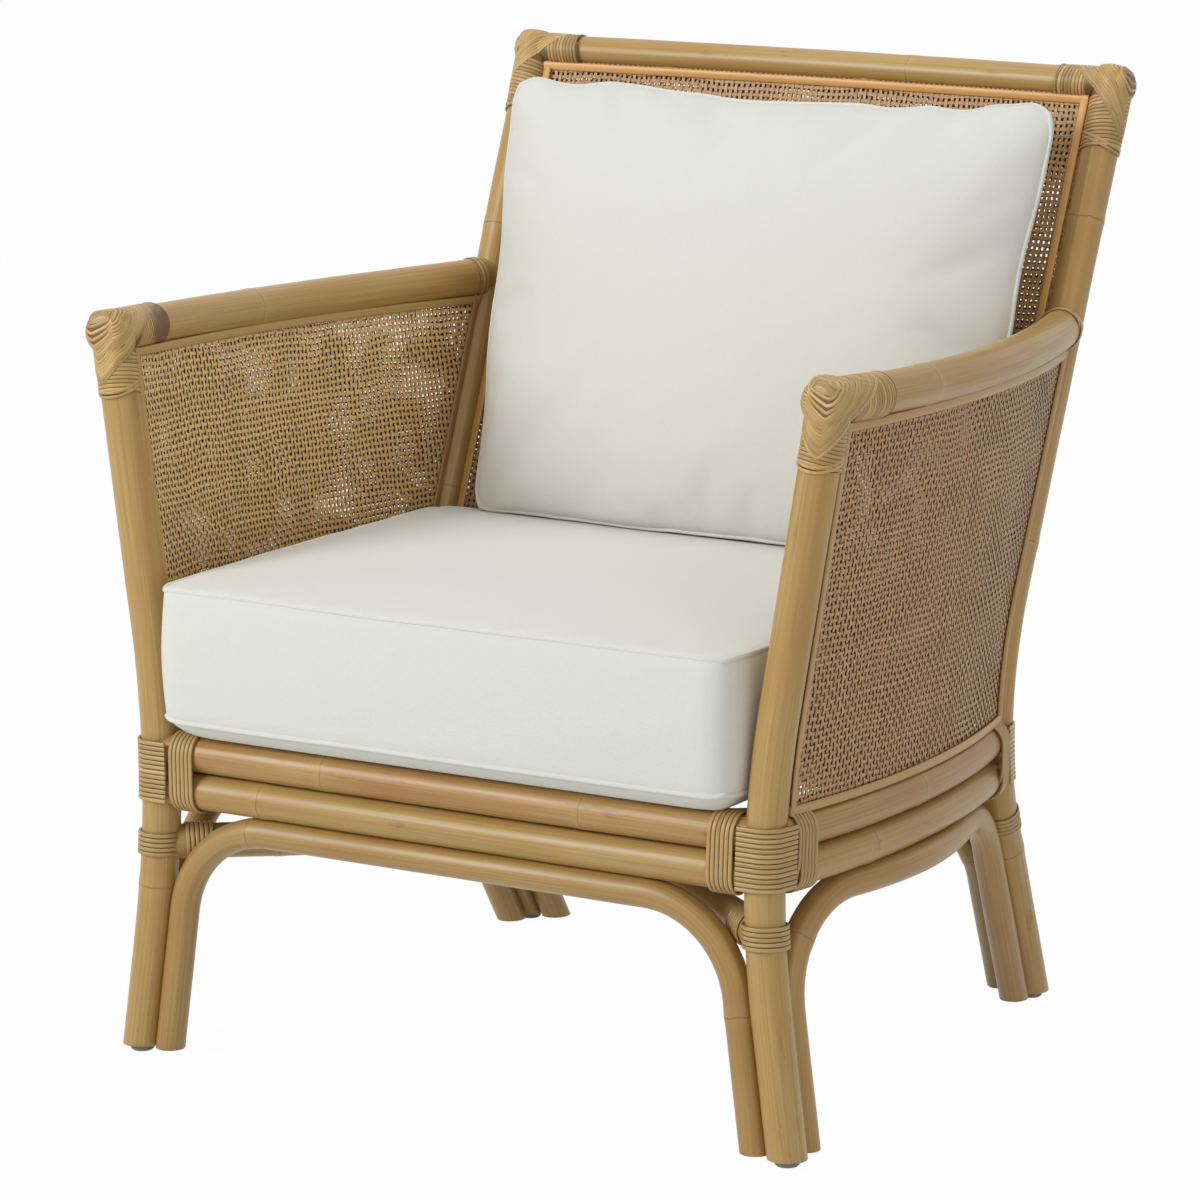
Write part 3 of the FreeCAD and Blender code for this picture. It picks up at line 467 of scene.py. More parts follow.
class ShapeTree(Tree):
    """A Geometry Nodes tree with named inputs, applied to plain meshes."""

    def __init__(self, name: str) -> None:
        """Start the tree with a geometry input and output."""
        super().__init__(bpy.data.node_groups.new(name, "GeometryNodeTree"))
        self.tree.interface.new_socket("Geometry", in_out="OUTPUT",
                                       socket_type="NodeSocketGeometry")
        self.identifiers: dict[str, str] = {}
        self.geometry, = self.inputs("Geometry", "Geometry")

    def inputs(self, kind: str, *names: str) -> list[Value]:
        """Add named inputs of one kind."""
        values = []
        for name in names:
            socket = self.tree.interface.new_socket(
                name, in_out="INPUT", socket_type="NodeSocket" + kind)
            self.identifiers[name] = socket.identifier
            outputs = self.add("NodeGroupInput").outputs
            found = next(s for s in outputs if s.identifier == socket.identifier)
            values.append(Value(self, found))
        return values

    def geo(self, kind: str, **named: object) -> Value:
        """Add a geometry node and return one of its outputs."""
        return self.out("GeometryNode" + kind, **named)

    def position(self) -> Value:
        """Read the points' places."""
        return self.geo("InputPosition")

    def named(self, name: str, kind: str = "FLOAT") -> Value:
        """Read a named attribute."""
        return self.geo("InputNamedAttribute", Name=name, data_type=kind, pick="Attribute")

    def chance(self, number: object, seed: object) -> Value:
        """A random share for each number."""
        return self.out("FunctionNodeRandomValue", ID=number, Seed=seed, data_type="FLOAT", pick=1)

    def store(self, geometry: Value, name: str, value: object, kind: str = "FLOAT",
              domain: str = "POINT") -> Value:
        """Store a named attribute and return the geometry."""
        return self.geo("StoreNamedAttribute", Geometry=geometry, Name=name, Value=value,
                        data_type=kind, domain=domain)

    def curve(self, step: Value) -> Value:
        """The input's edges as curves with even steps."""
        curve = self.geo("MeshToCurve", Mesh=self.geometry)
        return self.geo("ResampleCurve", Curve=curve, Length=step, mode="LENGTH")

    def joined(self, *parts: Value) -> Value:
        """Join several geometries."""
        node = self.add("GeometryNodeJoinGeometry")
        for part in parts:
            self.put(node, {0: part})
        return Value(self, node.outputs[0])

    def finish(self, geometry: Value) -> "ShapeTree":
        """End the tree in Realize Instances, smooth shading and Set Material."""
        material, = self.inputs("Material", "Material")
        real = self.geo("RealizeInstances", Geometry=geometry)
        smooth = self.geo("SetShadeSmooth", Geometry=real)
        self.add("NodeGroupOutput", self.geo("SetMaterial", Geometry=smooth, Material=material))
        return self

    def apply(self, name: str, mesh: bpy.types.Mesh, **values: object) -> bpy.types.Object:
        """Run the tree on a mesh and keep the result as a plain mesh.

        Args:
            name: Name of the piece.
            mesh: The mesh that goes into the tree.
            **values: Inputs by name, with underscores for blanks.

        Returns:
            The finished object, at the origin.
        """
        source = linked(name + "_path", mesh)
        modifier = source.modifiers.new("shape", "NODES")
        modifier.node_group = self.tree
        for key, value in values.items():
            modifier[self.identifiers[key.replace("_", " ")]] = value
        return settled(source, name)


def pole_tree() -> ShapeTree:
    """The tree that turns an axis into a rattan pole with its node rings.

    Returns:
        The tree, whose mesh carries the place along and round the pole for the finish.
    """
    ring_width, lumpy, wander_scale, absent_share, same_spot = 0.006, 0.05, 9.0, 0.66, 0.00002
    t = ShapeTree("rattan pole")
    radius, step, spacing, swell, floor = t.inputs(
        "Float", "Radius", "Step", "Ring Spacing", "Ring Swell", "Floor")
    sides, seed = t.inputs("Int", "Sides", "Seed")
    curve = t.curve(step)
    along = t.geo("SplineParameter", pick="Length")
    number = t.geo("CurveOfPoint", pick="Curve Index")
    cell = t.math("FLOOR", along / spacing)
    chance = t.chance(number * 31.0 + cell, seed)
    ring_place = (cell + (chance * 0.6 + 0.2)) * spacing
    absent = t.math("GREATER_THAN", t.math("FRACT", chance * 7.0), absent_share)
    gap = along - ring_place + absent
    tone = t.chance(number, seed)
    for name, value in (("along", along), ("ring_gap", gap), ("tone", tone)):
        curve = t.store(curve, name, value)
    curve = t.store(curve, "way", t.geo("InputTangent"), "FLOAT_VECTOR")
    near = t.math("POWER", 2.718, t.math("POWER", gap / ring_width, 2.0) * -1.0)
    wander = t.out("ShaderNodeTexNoise", W=along + tone, Scale=wander_scale,
                   noise_dimensions="1D")
    scale = (wander - 0.5) * lumpy + 1.0 + swell * near / radius
    profile = t.geo("CurvePrimitiveCircle", Resolution=sides, Radius=radius)
    profile = t.store(profile, "around", t.position(), "FLOAT_VECTOR")
    tube = t.geo("CurveToMesh", Curve=curve, Profile_Curve=profile, Scale=scale, Fill_Caps=True)
    below = t.math("MAXIMUM", 0.0, floor - t.split(t.position())[2])
    way = t.named("way", "FLOAT_VECTOR")
    tube = t.geo("SetPosition", Geometry=tube, Offset=t.scaled(way, below / t.split(way)[2]))
    return t.finish(t.geo("MergeByDistance", Geometry=tube, Distance=same_spot))


def strand_tree() -> ShapeTree:
    """The tree that lays a flat, round-edged strand along each path.

    Returns:
        The tree, whose mesh carries the place along and across each strand.
    """
    squareness = 0.75
    t = ShapeTree("binding strand")
    width, thickness, step = t.inputs("Float", "Width", "Thickness", "Step")
    sides, seed = t.inputs("Int", "Sides", "Seed")
    tone = t.chance(t.geo("InputIndex"), seed)
    captured = t.add("GeometryNodeCaptureAttribute", Geometry=t.curve(step), domain="CURVE")
    captured.capture_items.new("FLOAT", "tone")
    t.put(captured, {1: tone})
    curve = t.store(Value(t, captured.outputs[0]), "tone", Value(t, captured.outputs[1]))
    curve = t.store(curve, "along", t.geo("SplineParameter", pick="Length"))
    curve = t.geo("SetCurveNormal", Curve=curve, Normal=t.named("out", "FLOAT_VECTOR"),
                  mode="FREE")
    profile = t.geo("CurvePrimitiveCircle", Resolution=sides, Radius=0.5)
    x, y, _ = t.split(t.position())
    swollen = t.math("SIGN", y) * t.math("POWER", t.math("ABSOLUTE", y * 2.0), squareness)
    flat = t.combine(x * thickness, swollen * 0.5 * width)
    profile = t.geo("SetPosition", Geometry=profile, Position=flat)
    profile = t.store(profile, "around", t.position(), "FLOAT_VECTOR")
    return t.finish(t.geo("CurveToMesh", Curve=curve, Profile_Curve=profile, Scale=1.0,
                          Fill_Caps=True))


def cane_tree() -> ShapeTree:
    """The tree that weaves flat cane strands over a panel's surface.

    Returns:
        The tree. Its input mesh has a UV map in metres, and the weave follows it.
    """
    upright_width, row_width, wave, back_shade_depth = 0.003, 0.0031, 0.0005, 0.0004
    wobble_scale, wobble_size, bend_scale, bend_size = 40.0, 0.0011, 17.0, 0.009
    t = ShapeTree("cane weave")
    across, high, facing = t.inputs("Float", "Cell Across", "Cell Height", "Facing")
    columns, rows, seed = t.inputs("Int", "Columns", "Rows", "Seed")

    def strips(lengthwise: bool) -> Value:
        """One set of parallel strands laid flat, wavy over and under the other set."""
        count, run = (columns, rows) if lengthwise else (rows, columns)
        pitch, cell = (across, high) if lengthwise else (high, across)
        width, shift = (upright_width, 3.7) if lengthwise else (row_width, 5.3)
        length = run * cell
        strip = t.geo("MeshGrid", Size_X=width, Size_Y=length, Vertices_X=2,
                      Vertices_Y=run * 2.0 + 1.0)
        points = t.geo("MeshLine", Count=count, Offset=t.combine(pitch), mode="OFFSET")
        many = t.geo("InstanceOnPoints", Points=points, Instance=strip)
        many = t.store(many, "number", t.geo("InputIndex"), domain="INSTANCE")
        real = t.geo("RealizeInstances", Geometry=many)
        x, y, _ = t.split(t.position())
        number = t.named("number")
        along = y + length * 0.5
        swing = t.math("COSINE", (along / cell + number) * math.pi)
        if not lengthwise:
            swing = swing * -1.0
        real = t.store(real, "tone", t.chance(t.math("ROUND", number), seed))
        real = t.store(real, "along", y)
        real = t.store(real, "around", t.combine(0.0, x - number * pitch), "FLOAT_VECTOR")
        # dip is high where a strand lies under the other set; the finish paints it darker there as
        # shade.
        real = t.store(real, "dip", swing * (facing * -1.0))
        wobble = t.noise(t.combine(y * wobble_scale, number * 7.31), 1.0, 1.0)
        u, v = (x, along) if lengthwise else (along, x)
        bend = t.noise(t.combine(u * bend_scale, v * bend_scale, seed * shift), 1.0, 2.0)
        aside = x + (wobble - 0.5) * wobble_size + (bend - 0.5) * bend_size
        spot = (aside, along) if lengthwise else (along, aside)
        return t.geo("SetPosition", Geometry=real, Position=t.combine(*spot, swing * wave))

    weave = t.joined(strips(True), strips(False))
    u, v, w = t.split(t.position())
    samples = [t.add("GeometryNodeSampleUVSurface", Mesh=t.geometry, Value=value,
                     UV_Map=t.named("UVMap", "FLOAT_VECTOR"), Sample_UV=t.combine(u, v),
                     data_type="FLOAT_VECTOR") for value in (t.position(), t.geo("InputNormal"))]
    spot, normal = (Value(t, sample.outputs[0]) for sample in samples)
    inside = Value(t, samples[0].outputs["Is Valid"])
    outside = t.out("FunctionNodeBooleanMath", inside, operation="NOT")
    kept = t.geo("DeleteGeometry", Geometry=weave, Selection=outside, domain="POINT")
    faces = []
    # The weave's front faces, and a copy just behind them whose faces are painted dark as the shade
    # seen through the holes.
    for back_shade, side in ((0.0, "LESS_THAN"), (1.0, "GREATER_THAN")):
        depth = w - facing * back_shade_depth * back_shade
        target = t.out("ShaderNodeVectorMath", spot, t.scaled(normal, depth), operation="ADD")
        face = t.geo("SetPosition", Geometry=kept, Position=target)
        face = t.geo("FlipFaces", Mesh=face, Selection=t.math(side, facing, 0.0))
        faces.append(t.store(face, "back_shade", back_shade))
    return t.finish(t.joined(*faces))


def colour(red: float, green: float, blue: float) -> tuple[float, float, float, float]:
    """A display colour from 0 to 255 as a linear one."""
    shares = (value / 255 for value in (red, green, blue))
    return *(s / 12.92 if s <= 0.04045 else ((s + 0.055) / 1.055) ** 2.4 for s in shares), 1.0


class Finish:
    """Base of the finishes: makes its material once."""

    name = "finish"

    def material(self) -> bpy.types.Material:
        """Return the material, made the first time that it is asked for."""
        found = bpy.data.materials.get(self.name)
        if found:
            return found
        material = bpy.data.materials.new(self.name)
        material.use_nodes = True
        self.build(Tree(material.node_tree))
        return material

    def build(self, tree: Tree) -> None:
        """Fill in the material's tree; each finish has its own."""
        raise NotImplementedError

    @staticmethod
    def shader(tree: Tree, height: Value, strength: float, depth: float, inputs: dict) -> None:
        """End a tree in a shader with a bump.

        Args:
            tree: The material's tree.
            height: The bump's height.
            strength: The bump's strength.
            depth: The bump's distance.
            inputs: The shader's other inputs.
        """
        bump = tree.out("ShaderNodeBump", Height=height, Strength=strength, Distance=depth)
        node = tree.put(tree.add("ShaderNodeBsdfPrincipled"), {**inputs, "Normal": bump})
        tree.add("ShaderNodeOutputMaterial", Value(tree, node.outputs[0]))


@dataclass(frozen=True)
class RattanFinish(Finish):
    """Skin of a rattan pole or strand, which follows the grain by the piece's own attributes."""

    name: str = "rattan pole"
    light: tuple = (194, 162, 98)
    dark: tuple = (163, 129, 70)
    warm: tuple = (174, 124, 62)
    # Colour of the node rings and specks, also used as painted shade at strand edges and
    # under-crossings.
    ring_and_shade: tuple = (118, 84, 48)
    rust: tuple = (146, 88, 42)
    # Colour of the painted shade on the back faces of a woven sheet.
    back_shade: tuple = (84, 48, 28)
    rings: bool = True
    streak_scale: float = 520.0
    length_scale: float = 7.0
    tone_spread: float = 0.16
    # Width over which a strand darkens towards its edges as painted shade; 0 for none.
    edge: float = 0.0
    # Whether the piece is a woven sheet: darker as painted shade where strands dip under, and back
    # faces painted dark as shade.
    woven: bool = False
    roughness: float = 0.4
    bump: float = 0.1
    ring_line: float = 0.0011
    ring_mottle: float = 0.009
    ring_pale: float = 0.012

    def build(self, tree: Tree) -> None:
        """Streaks along the grain, slow changes of tone, rings, specks and a soft gloss, with
        painted shade at strand edges, at under-crossings and on back faces where asked.
        """
        ax, ay, _ = tree.split(tree.attribute("around", "Vector"))
        tone = tree.attribute("tone")
        shifted = tone * 31.7 + tree.attribute("along")
        light, dark, warm, ring_and_shade, rust_colour, back_shade = (
            colour(*c) for c in (self.light, self.dark, self.warm, self.ring_and_shade, self.rust, self.back_shade))

        def spot(round_scale: float, long_scale: float) -> Value:
            """Place round and along the pole, for a noise that follows the grain."""
            return tree.combine(ax * round_scale, ay * round_scale, shifted * long_scale)

        grain = spot(self.streak_scale, self.length_scale)
        streaks = tree.noise(grain, 1.0, 4.0, 0.55)
        patches = tree.noise(spot(38.0, 6.0), 1.0, 3.0, 0.55)
        base = tree.ramp(streaks, (0.22, dark), (0.76, light))
        base = tree.mix(tree.ramp(patches, (0.4, BLACK), (0.74, WHITE)) * 0.6, base, warm)
        spread = tone * self.tone_spread + (1.0 - self.tone_spread * 0.55)
        base = tree.mix(1.0, base, tree.combine(spread, spread, spread), "MULTIPLY")
        rust = tree.ramp(tree.noise(spot(90.0, 22.0), 1.0, 4.0, 0.6), (0.6, BLACK), (0.7, WHITE))
        zone = tree.ramp(tree.noise(spot(20.0, 4.0), 1.0, 1.0), (0.54, BLACK), (0.64, WHITE))
        base = tree.mix(rust * zone * 0.7, base, rust_colour)
        height = streaks * 0.25
        if self.rings:
            waver = (tree.noise(grain, 0.22, 1.0) - 0.5) * 0.003
            away = tree.math("ABSOLUTE", tree.attribute("ring_gap") + waver)
            line = tree.near(away, self.ring_line)
            base = tree.mix(tree.near(away, self.ring_mottle) * rust * 0.8, base, rust_colour)
            base = tree.mix(tree.near(away, self.ring_pale) * 0.3, base, light)
            base = tree.mix(tree.math("MINIMUM", 0.75, line * (patches * 1.2)), base, ring_and_shade)
            height = height - line * 0.9
        # Painted shade: darker towards each strand's edges, where the strands meet.
        if self.edge:
            rim = tree.ramp(tree.math("ABSOLUTE", ay) / self.edge, (0.72, BLACK), (1.0, WHITE))
            base = tree.mix(rim * 0.7, base, ring_and_shade)
        # Painted shade: darker where a strand dips under the other set, and the back faces of the
        # sheet painted dark.
        if self.woven:
            under = tree.ramp(tree.attribute("dip"), (0.1, BLACK), (0.9, WHITE))
            base = tree.mix(under * 0.6, base, ring_and_shade)
            base = tree.mix(tree.attribute("back_shade") * 0.9, base, back_shade)
        specks = tree.out("ShaderNodeTexVoronoi", Vector=grain, Scale=0.35, pick="Distance")
        base = tree.mix(tree.ramp(specks, (0.035, WHITE), (0.07, BLACK)) * 0.3, base, ring_and_shade)
        self.shader(tree, height, self.bump, 0.0006, {
            "Base Color": base, "Roughness": patches * 0.16 + (self.roughness - 0.08),
            "Coat Weight": 0.09, "Coat Roughness": 0.25})


@dataclass(frozen=True)
class CoverFinish(Finish):
    """Plain-woven cotton cover of the cushions."""

    name: str = "cotton cover"
    base: tuple = (230, 231, 224)
    shade: tuple = (220, 221, 212)
    gap: tuple = (206, 204, 198)
    thread: float = 0.00085

    def build(self, tree: Tree) -> None:
        """Two sets of threads, a little uneven, with a soft sheen."""
        spot = tree.out("ShaderNodeTexCoord", pick="Object")
        x, y, z = tree.split(spot)
        waves = []
        for direction in ((1.0, 0.0, 0.0), (0.0, 0.8, 0.6)):
            run = tree.out("ShaderNodeVectorMath", spot, direction, operation="DOT_PRODUCT",
                           pick="Value")
            waver = tree.noise(spot, 260.0, 1.0) * 2.4
            waves.append(tree.math("SINE", run * (2 * math.pi / self.thread) + waver))
        weave = (waves[0] + waves[1]) * 0.5
        slubs = tree.noise(tree.combine(x * 9.0, y, z * 2.0), 160.0)
        tint = tree.mix(slubs, colour(*self.shade), colour(*self.base))
        tint = tree.mix(weave * 0.03 + 0.05, tint, colour(*self.gap))
        creases = tree.noise(spot, 16.0, 4.0)
        self.shader(tree, weave * 0.12 + creases * 1.6, 0.35, 0.0012, {
            "Base Color": tint, "Roughness": 0.9, "Sheen Weight": 0.25,
            "Sheen Roughness": 0.5, "Specular IOR Level": 0.2})


@dataclass(frozen=True)
class GlideFinish(Finish):
    """Grey moulded plastic of the glides, scuffed where they meet the floor."""

    name: str = "grey plastic"
    scuff_height: float = 0.003

    def build(self, tree: Tree) -> None:
        """A fine moulded grain with scuffs near the floor."""
        spot = tree.out("ShaderNodeTexCoord", pick="Object")
        grain = tree.noise(spot, 900.0)
        worn = tree.near(tree.split(spot)[2], self.scuff_height) * tree.noise(spot, 240.0, 5.0, 0.7)
        tint = tree.mix(grain, colour(120, 123, 124), colour(134, 137, 138))
        tint = tree.mix(worn, tint, colour(172, 172, 170))
        self.shader(tree, grain, 0.2, 0.0003, {"Base Color": tint, "Roughness": worn * 0.25 + 0.5})

    def paint(self, piece: bpy.types.Object) -> None:
        """Give every slot of a piece this finish."""
        if not piece.data.materials:
            piece.data.materials.append(self.material())
        for slot in piece.material_slots:
            slot.material = self.material()


def strand_finish(name: str, light: tuple, dark: tuple, warm: tuple, **options) -> RattanFinish:
    """The finish of a split strand, which has no node rings."""
    options = {"streak_scale": 1300.0, "length_scale": 18.0, **options}
    return RattanFinish(name=name, light=light, dark=dark, warm=warm, rings=False, **options)


def cane_finish(name: str, light: tuple, dark: tuple, warm: tuple) -> RattanFinish:
    """The finish of a woven sheet, with painted shade towards each strand's edges, where it dips
    under the other set, and on the sheet's back faces.
    """
    return strand_finish(name, light, dark, warm, length_scale=24.0, tone_spread=0.22,
                         edge=0.0016, woven=True, roughness=0.5)


def trim_finish(name: str, light: tuple, dark: tuple, warm: tuple) -> RattanFinish:
    """The finish of the strips round the sheets, with painted shade towards their edges."""
    return strand_finish(name, light, dark, warm, streak_scale=700.0, length_scale=7.0,
                         edge=0.0045)


class Wood(Enum):
    """The rattan finishes, by the pieces that wear them."""

    POLE = RattanFinish()
    RAIL = RattanFinish("ripe rattan", (190, 154, 94), (156, 116, 62), (158, 100, 48))
    ARCH = RattanFinish("thin rattan", (186, 152, 90), (154, 120, 64), (162, 112, 56))
    # The edge setting of these strands paints shade towards each strand's edges.
    STRAND = strand_finish("binding strand", (204, 174, 114), (172, 138, 80), (180, 142, 78),
                           tone_spread=0.4, edge=0.0019)
    PLAIT = strand_finish("plaited strand", (206, 174, 112), (168, 132, 74), (176, 136, 72),
                          tone_spread=0.5, edge=0.00155)
    # A dark strand colour painted on the skin under the corner weave as the shade between its
    # strands.
    PAINTED_GAP_SHADE = strand_finish("shaded strand", (132, 98, 56), (108, 76, 40), (112, 74, 36))
    # Lit and shaded copies of one cane: the lighter one is painted light for the inner sheets, the
    # darker one painted shade for the outer and back sheets.
    CANE_PAINTED_LIT = cane_finish("cane painted lit", (240, 204, 144), (210, 170, 110), (208, 156, 94))
    CANE_PAINTED_SHADED = cane_finish("cane painted shaded", (210, 172, 118), (172, 130, 82), (180, 126, 76))
    TRIM = trim_finish("side trim", (200, 164, 104), (170, 132, 76), (182, 136, 76))
    BACK_TRIM = trim_finish("back trim", (232, 182, 110), (206, 152, 86), (214, 150, 80))

    def material(self) -> bpy.types.Material:
        """The finish's material."""
        return self.value.material()


def own(piece: bpy.types.Object, body: str, slot: str, *nodes: str) -> None:
    """Attach a piece: it rides on a body and stands for CAD nodes, which are hidden.

    Args:
        piece: The finished piece.
        body: The CAD body that it rides on.
        slot: Not used.
        *nodes: CAD nodes that it stands for.
    """
    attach(piece, body)
    if nodes:
        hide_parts(*nodes)
    log.info("%s: %d faces on %s", piece.name, len(piece.data.polygons), body)


@dataclass
class Lay:
    """Paths, and the direction away from what they lie on at each of their points."""

    paths: list[Path] = field(default_factory=list)
    outs: list[Path] = field(default_factory=list)

    def add(self, path: Path, out: Path) -> None:
        """Add one strand."""
        self.paths.append(path)
        self.outs.append(out)

    def mirror(self) -> "Lay":
        """Their mirror images."""
        return Lay([mirrored(p) for p in self.paths], [mirrored(o) for o in self.outs])

    def both(self) -> "Lay":
        """These strands and their mirror images."""
        other = self.mirror()
        return Lay(self.paths + other.paths, self.outs + other.outs)

    def mesh(self, name: str) -> bpy.types.Mesh:
        """A mesh of edges along the paths, with the directions in its "out" attribute."""
        edges, start = [], 0
        for path in self.paths:
            edges += [(i, i + 1) for i in range(start, start + len(path) - 1)]
            start += len(path)
        mesh = mesh_of(name, [p for path in self.paths for p in path], edges)
        if self.outs:
            flat = [c for out in self.outs for v in out for c in v]
            mesh.attributes.new("out", "FLOAT_VECTOR", "POINT").data.foreach_set("vector", flat)
        return mesh


@dataclass(frozen=True)
class Strand:
    """Section and fineness of a strand, in millimetres, and the seed of its tones."""

    width: float
    thickness: float
    sides: int
    step: float
    seed: int

    def along(self, tree: ShapeTree, name: str, lay: Lay,
              material: bpy.types.Material) -> bpy.types.Object:
        """Lay strands along paths as one piece.

        Args:
            tree: The strand tree.
            name: Name of the piece.
            lay: The paths.
            material: The strands' material.

        Returns:
            The piece.
        """
        return tree.apply(name, lay.mesh(name + "_lay"), Width=self.width * MM,
                          Thickness=self.thickness * MM, Sides=self.sides, Step=self.step * MM,
                          Seed=self.seed, Material=material)


@dataclass
class PoleFrame:
    """All poles of the chair's frame."""

    lines: ChairLines
    tree: ShapeTree
    step: float = 4.0
    sides: int = 40
    swell: float = 0.5
    _seed: int = 3

    def poles(self, node: str, paths: Sequence[Path], size: float, finish: Wood = Wood.POLE,
              spacing: float = 330.0, floor: bool = False) -> None:
        """Make the poles of one CAD node as one piece.

        Args:
            node: The CAD node.
            paths: The axis of each pole.
            size: Their diameter in millimetres.
            finish: Their rattan finish.
            spacing: Mean distance between their node rings, in millimetres.
            floor: Whether their ends are cut level over the floor.
        """
        self._seed += 1
        piece = self.tree.apply(
            "pole_" + node, Lay(list(paths)).mesh(node), Radius=size * MM / 2,
            Step=self.step * MM, Sides=self.sides, Ring_Spacing=spacing * MM,
            Ring_Swell=self.swell * MM, Seed=self._seed,
            Floor=FLOOR_CUT if floor else NO_FLOOR, Material=finish.material())
        own(piece, "frame", "pole", node)

    def both(self, node: str, path: Path, size: float, **options) -> None:
        """Make a pole on the right and its mirror image on the left."""
        self.poles(node + "_right", [path], size, **options)
        self.poles(node + "_left", [mirrored(path)], size, **options)

    def build(self) -> None:
        """Make every pole."""
        c = self.lines
        rail, arch, stretcher = c.rail_size, c.arch_size, c.stretcher_size
        self.both("front_post", c.front_post(20, 0), c.front_post_size, floor=True)
        self.both("back_post", c.back_post(20, 8), c.back_post_size, floor=True)
        self.both("arm", c.arm(), c.arm_size, spacing=420.0)
        self.poles("top_rail", [c.top_rail()], c.top_rail_size, spacing=380.0)
        for name, height, finish in (("upper", c.upper_rail, Wood.RAIL),
                                     ("lower", c.lower_rail, Wood.POLE)):
            self.poles(f"front_rail_{name}", [c.front_rail(height)], rail, finish, 300.0)
            self.poles(f"back_rail_{name}", [c.back_rail(height)], rail, finish)
            self.both(f"side_rail_{name}", c.side_rail(height), rail, finish=finish)
        thin = {"finish": Wood.ARCH, "spacing": 290.0, "floor": True}
        front = c.cross_arch(c.front_foot, c.front_knee, c.front_post_size)
        back = c.cross_arch(c.back_foot, c.back_knee, c.back_post_size)
        self.poles("front_arch", [front], arch, **thin)
        self.poles("back_arch", [back], arch, **thin)
        self.both("side_arch", c.side_arch(), arch, **thin)
        self.poles("stretcher_over", [c.stretcher()], stretcher)
        self.poles("stretcher_under", [mirrored(c.stretcher())], stretcher)
        self.poles("seat_slats", c.slats(), c.slat_size, Wood.ARCH, 260.0)


def winding(centre: Vector, along: Vector, up: Vector, radius: float, half_height: float,
            turns: float, pitch: float) -> Lay:
    """A strand wound round one pole, or round two stacked poles.

    Args:
        centre: Middle of the winding.
        along: Direction of the poles.
        up: Direction from the lower pole to the upper one.
        radius: Radius of the strand's centre line, in millimetres.
        half_height: Half the distance between the two axes, in metres; 0 for one pole.
        turns: Number of turns.
        pitch: Distance between turns in millimetres.

    Returns:
        One strand, whose ends dip towards the pole.
    """
    tail, tail_reach, step = 2.2, 0.012, 0.002
    out, r = along.cross(up), radius * MM
    straight, half_turn = 2 * half_height, math.pi * r
    loop = 2 * (straight + half_turn)
    steps = int(loop / step)
    total = int(turns * steps)
    path, outs = [], []
    for i in range(total + 1):
        travelled = i / steps * loop
        s = travelled % loop
        side = 1 if s < straight + half_turn else -1
        s -= 0 if side > 0 else straight + half_turn
        if s < straight:
            way = out * side
            offset = up * (side * (s - half_height)) + way * r
        else:
            t = (s - straight) / r
            way = (out * math.cos(t) + up * math.sin(t)) * side
            offset = up * (half_height * side) + way * r
        dip = max(0.0, 1 - min(i, total - i) * step / tail_reach) ** 2
        drift = along * ((travelled / loop - turns / 2) * pitch * MM)
        path.append(centre + offset + drift - way * (dip * tail * MM))
        outs.append(way)
    return Lay([path], [outs])


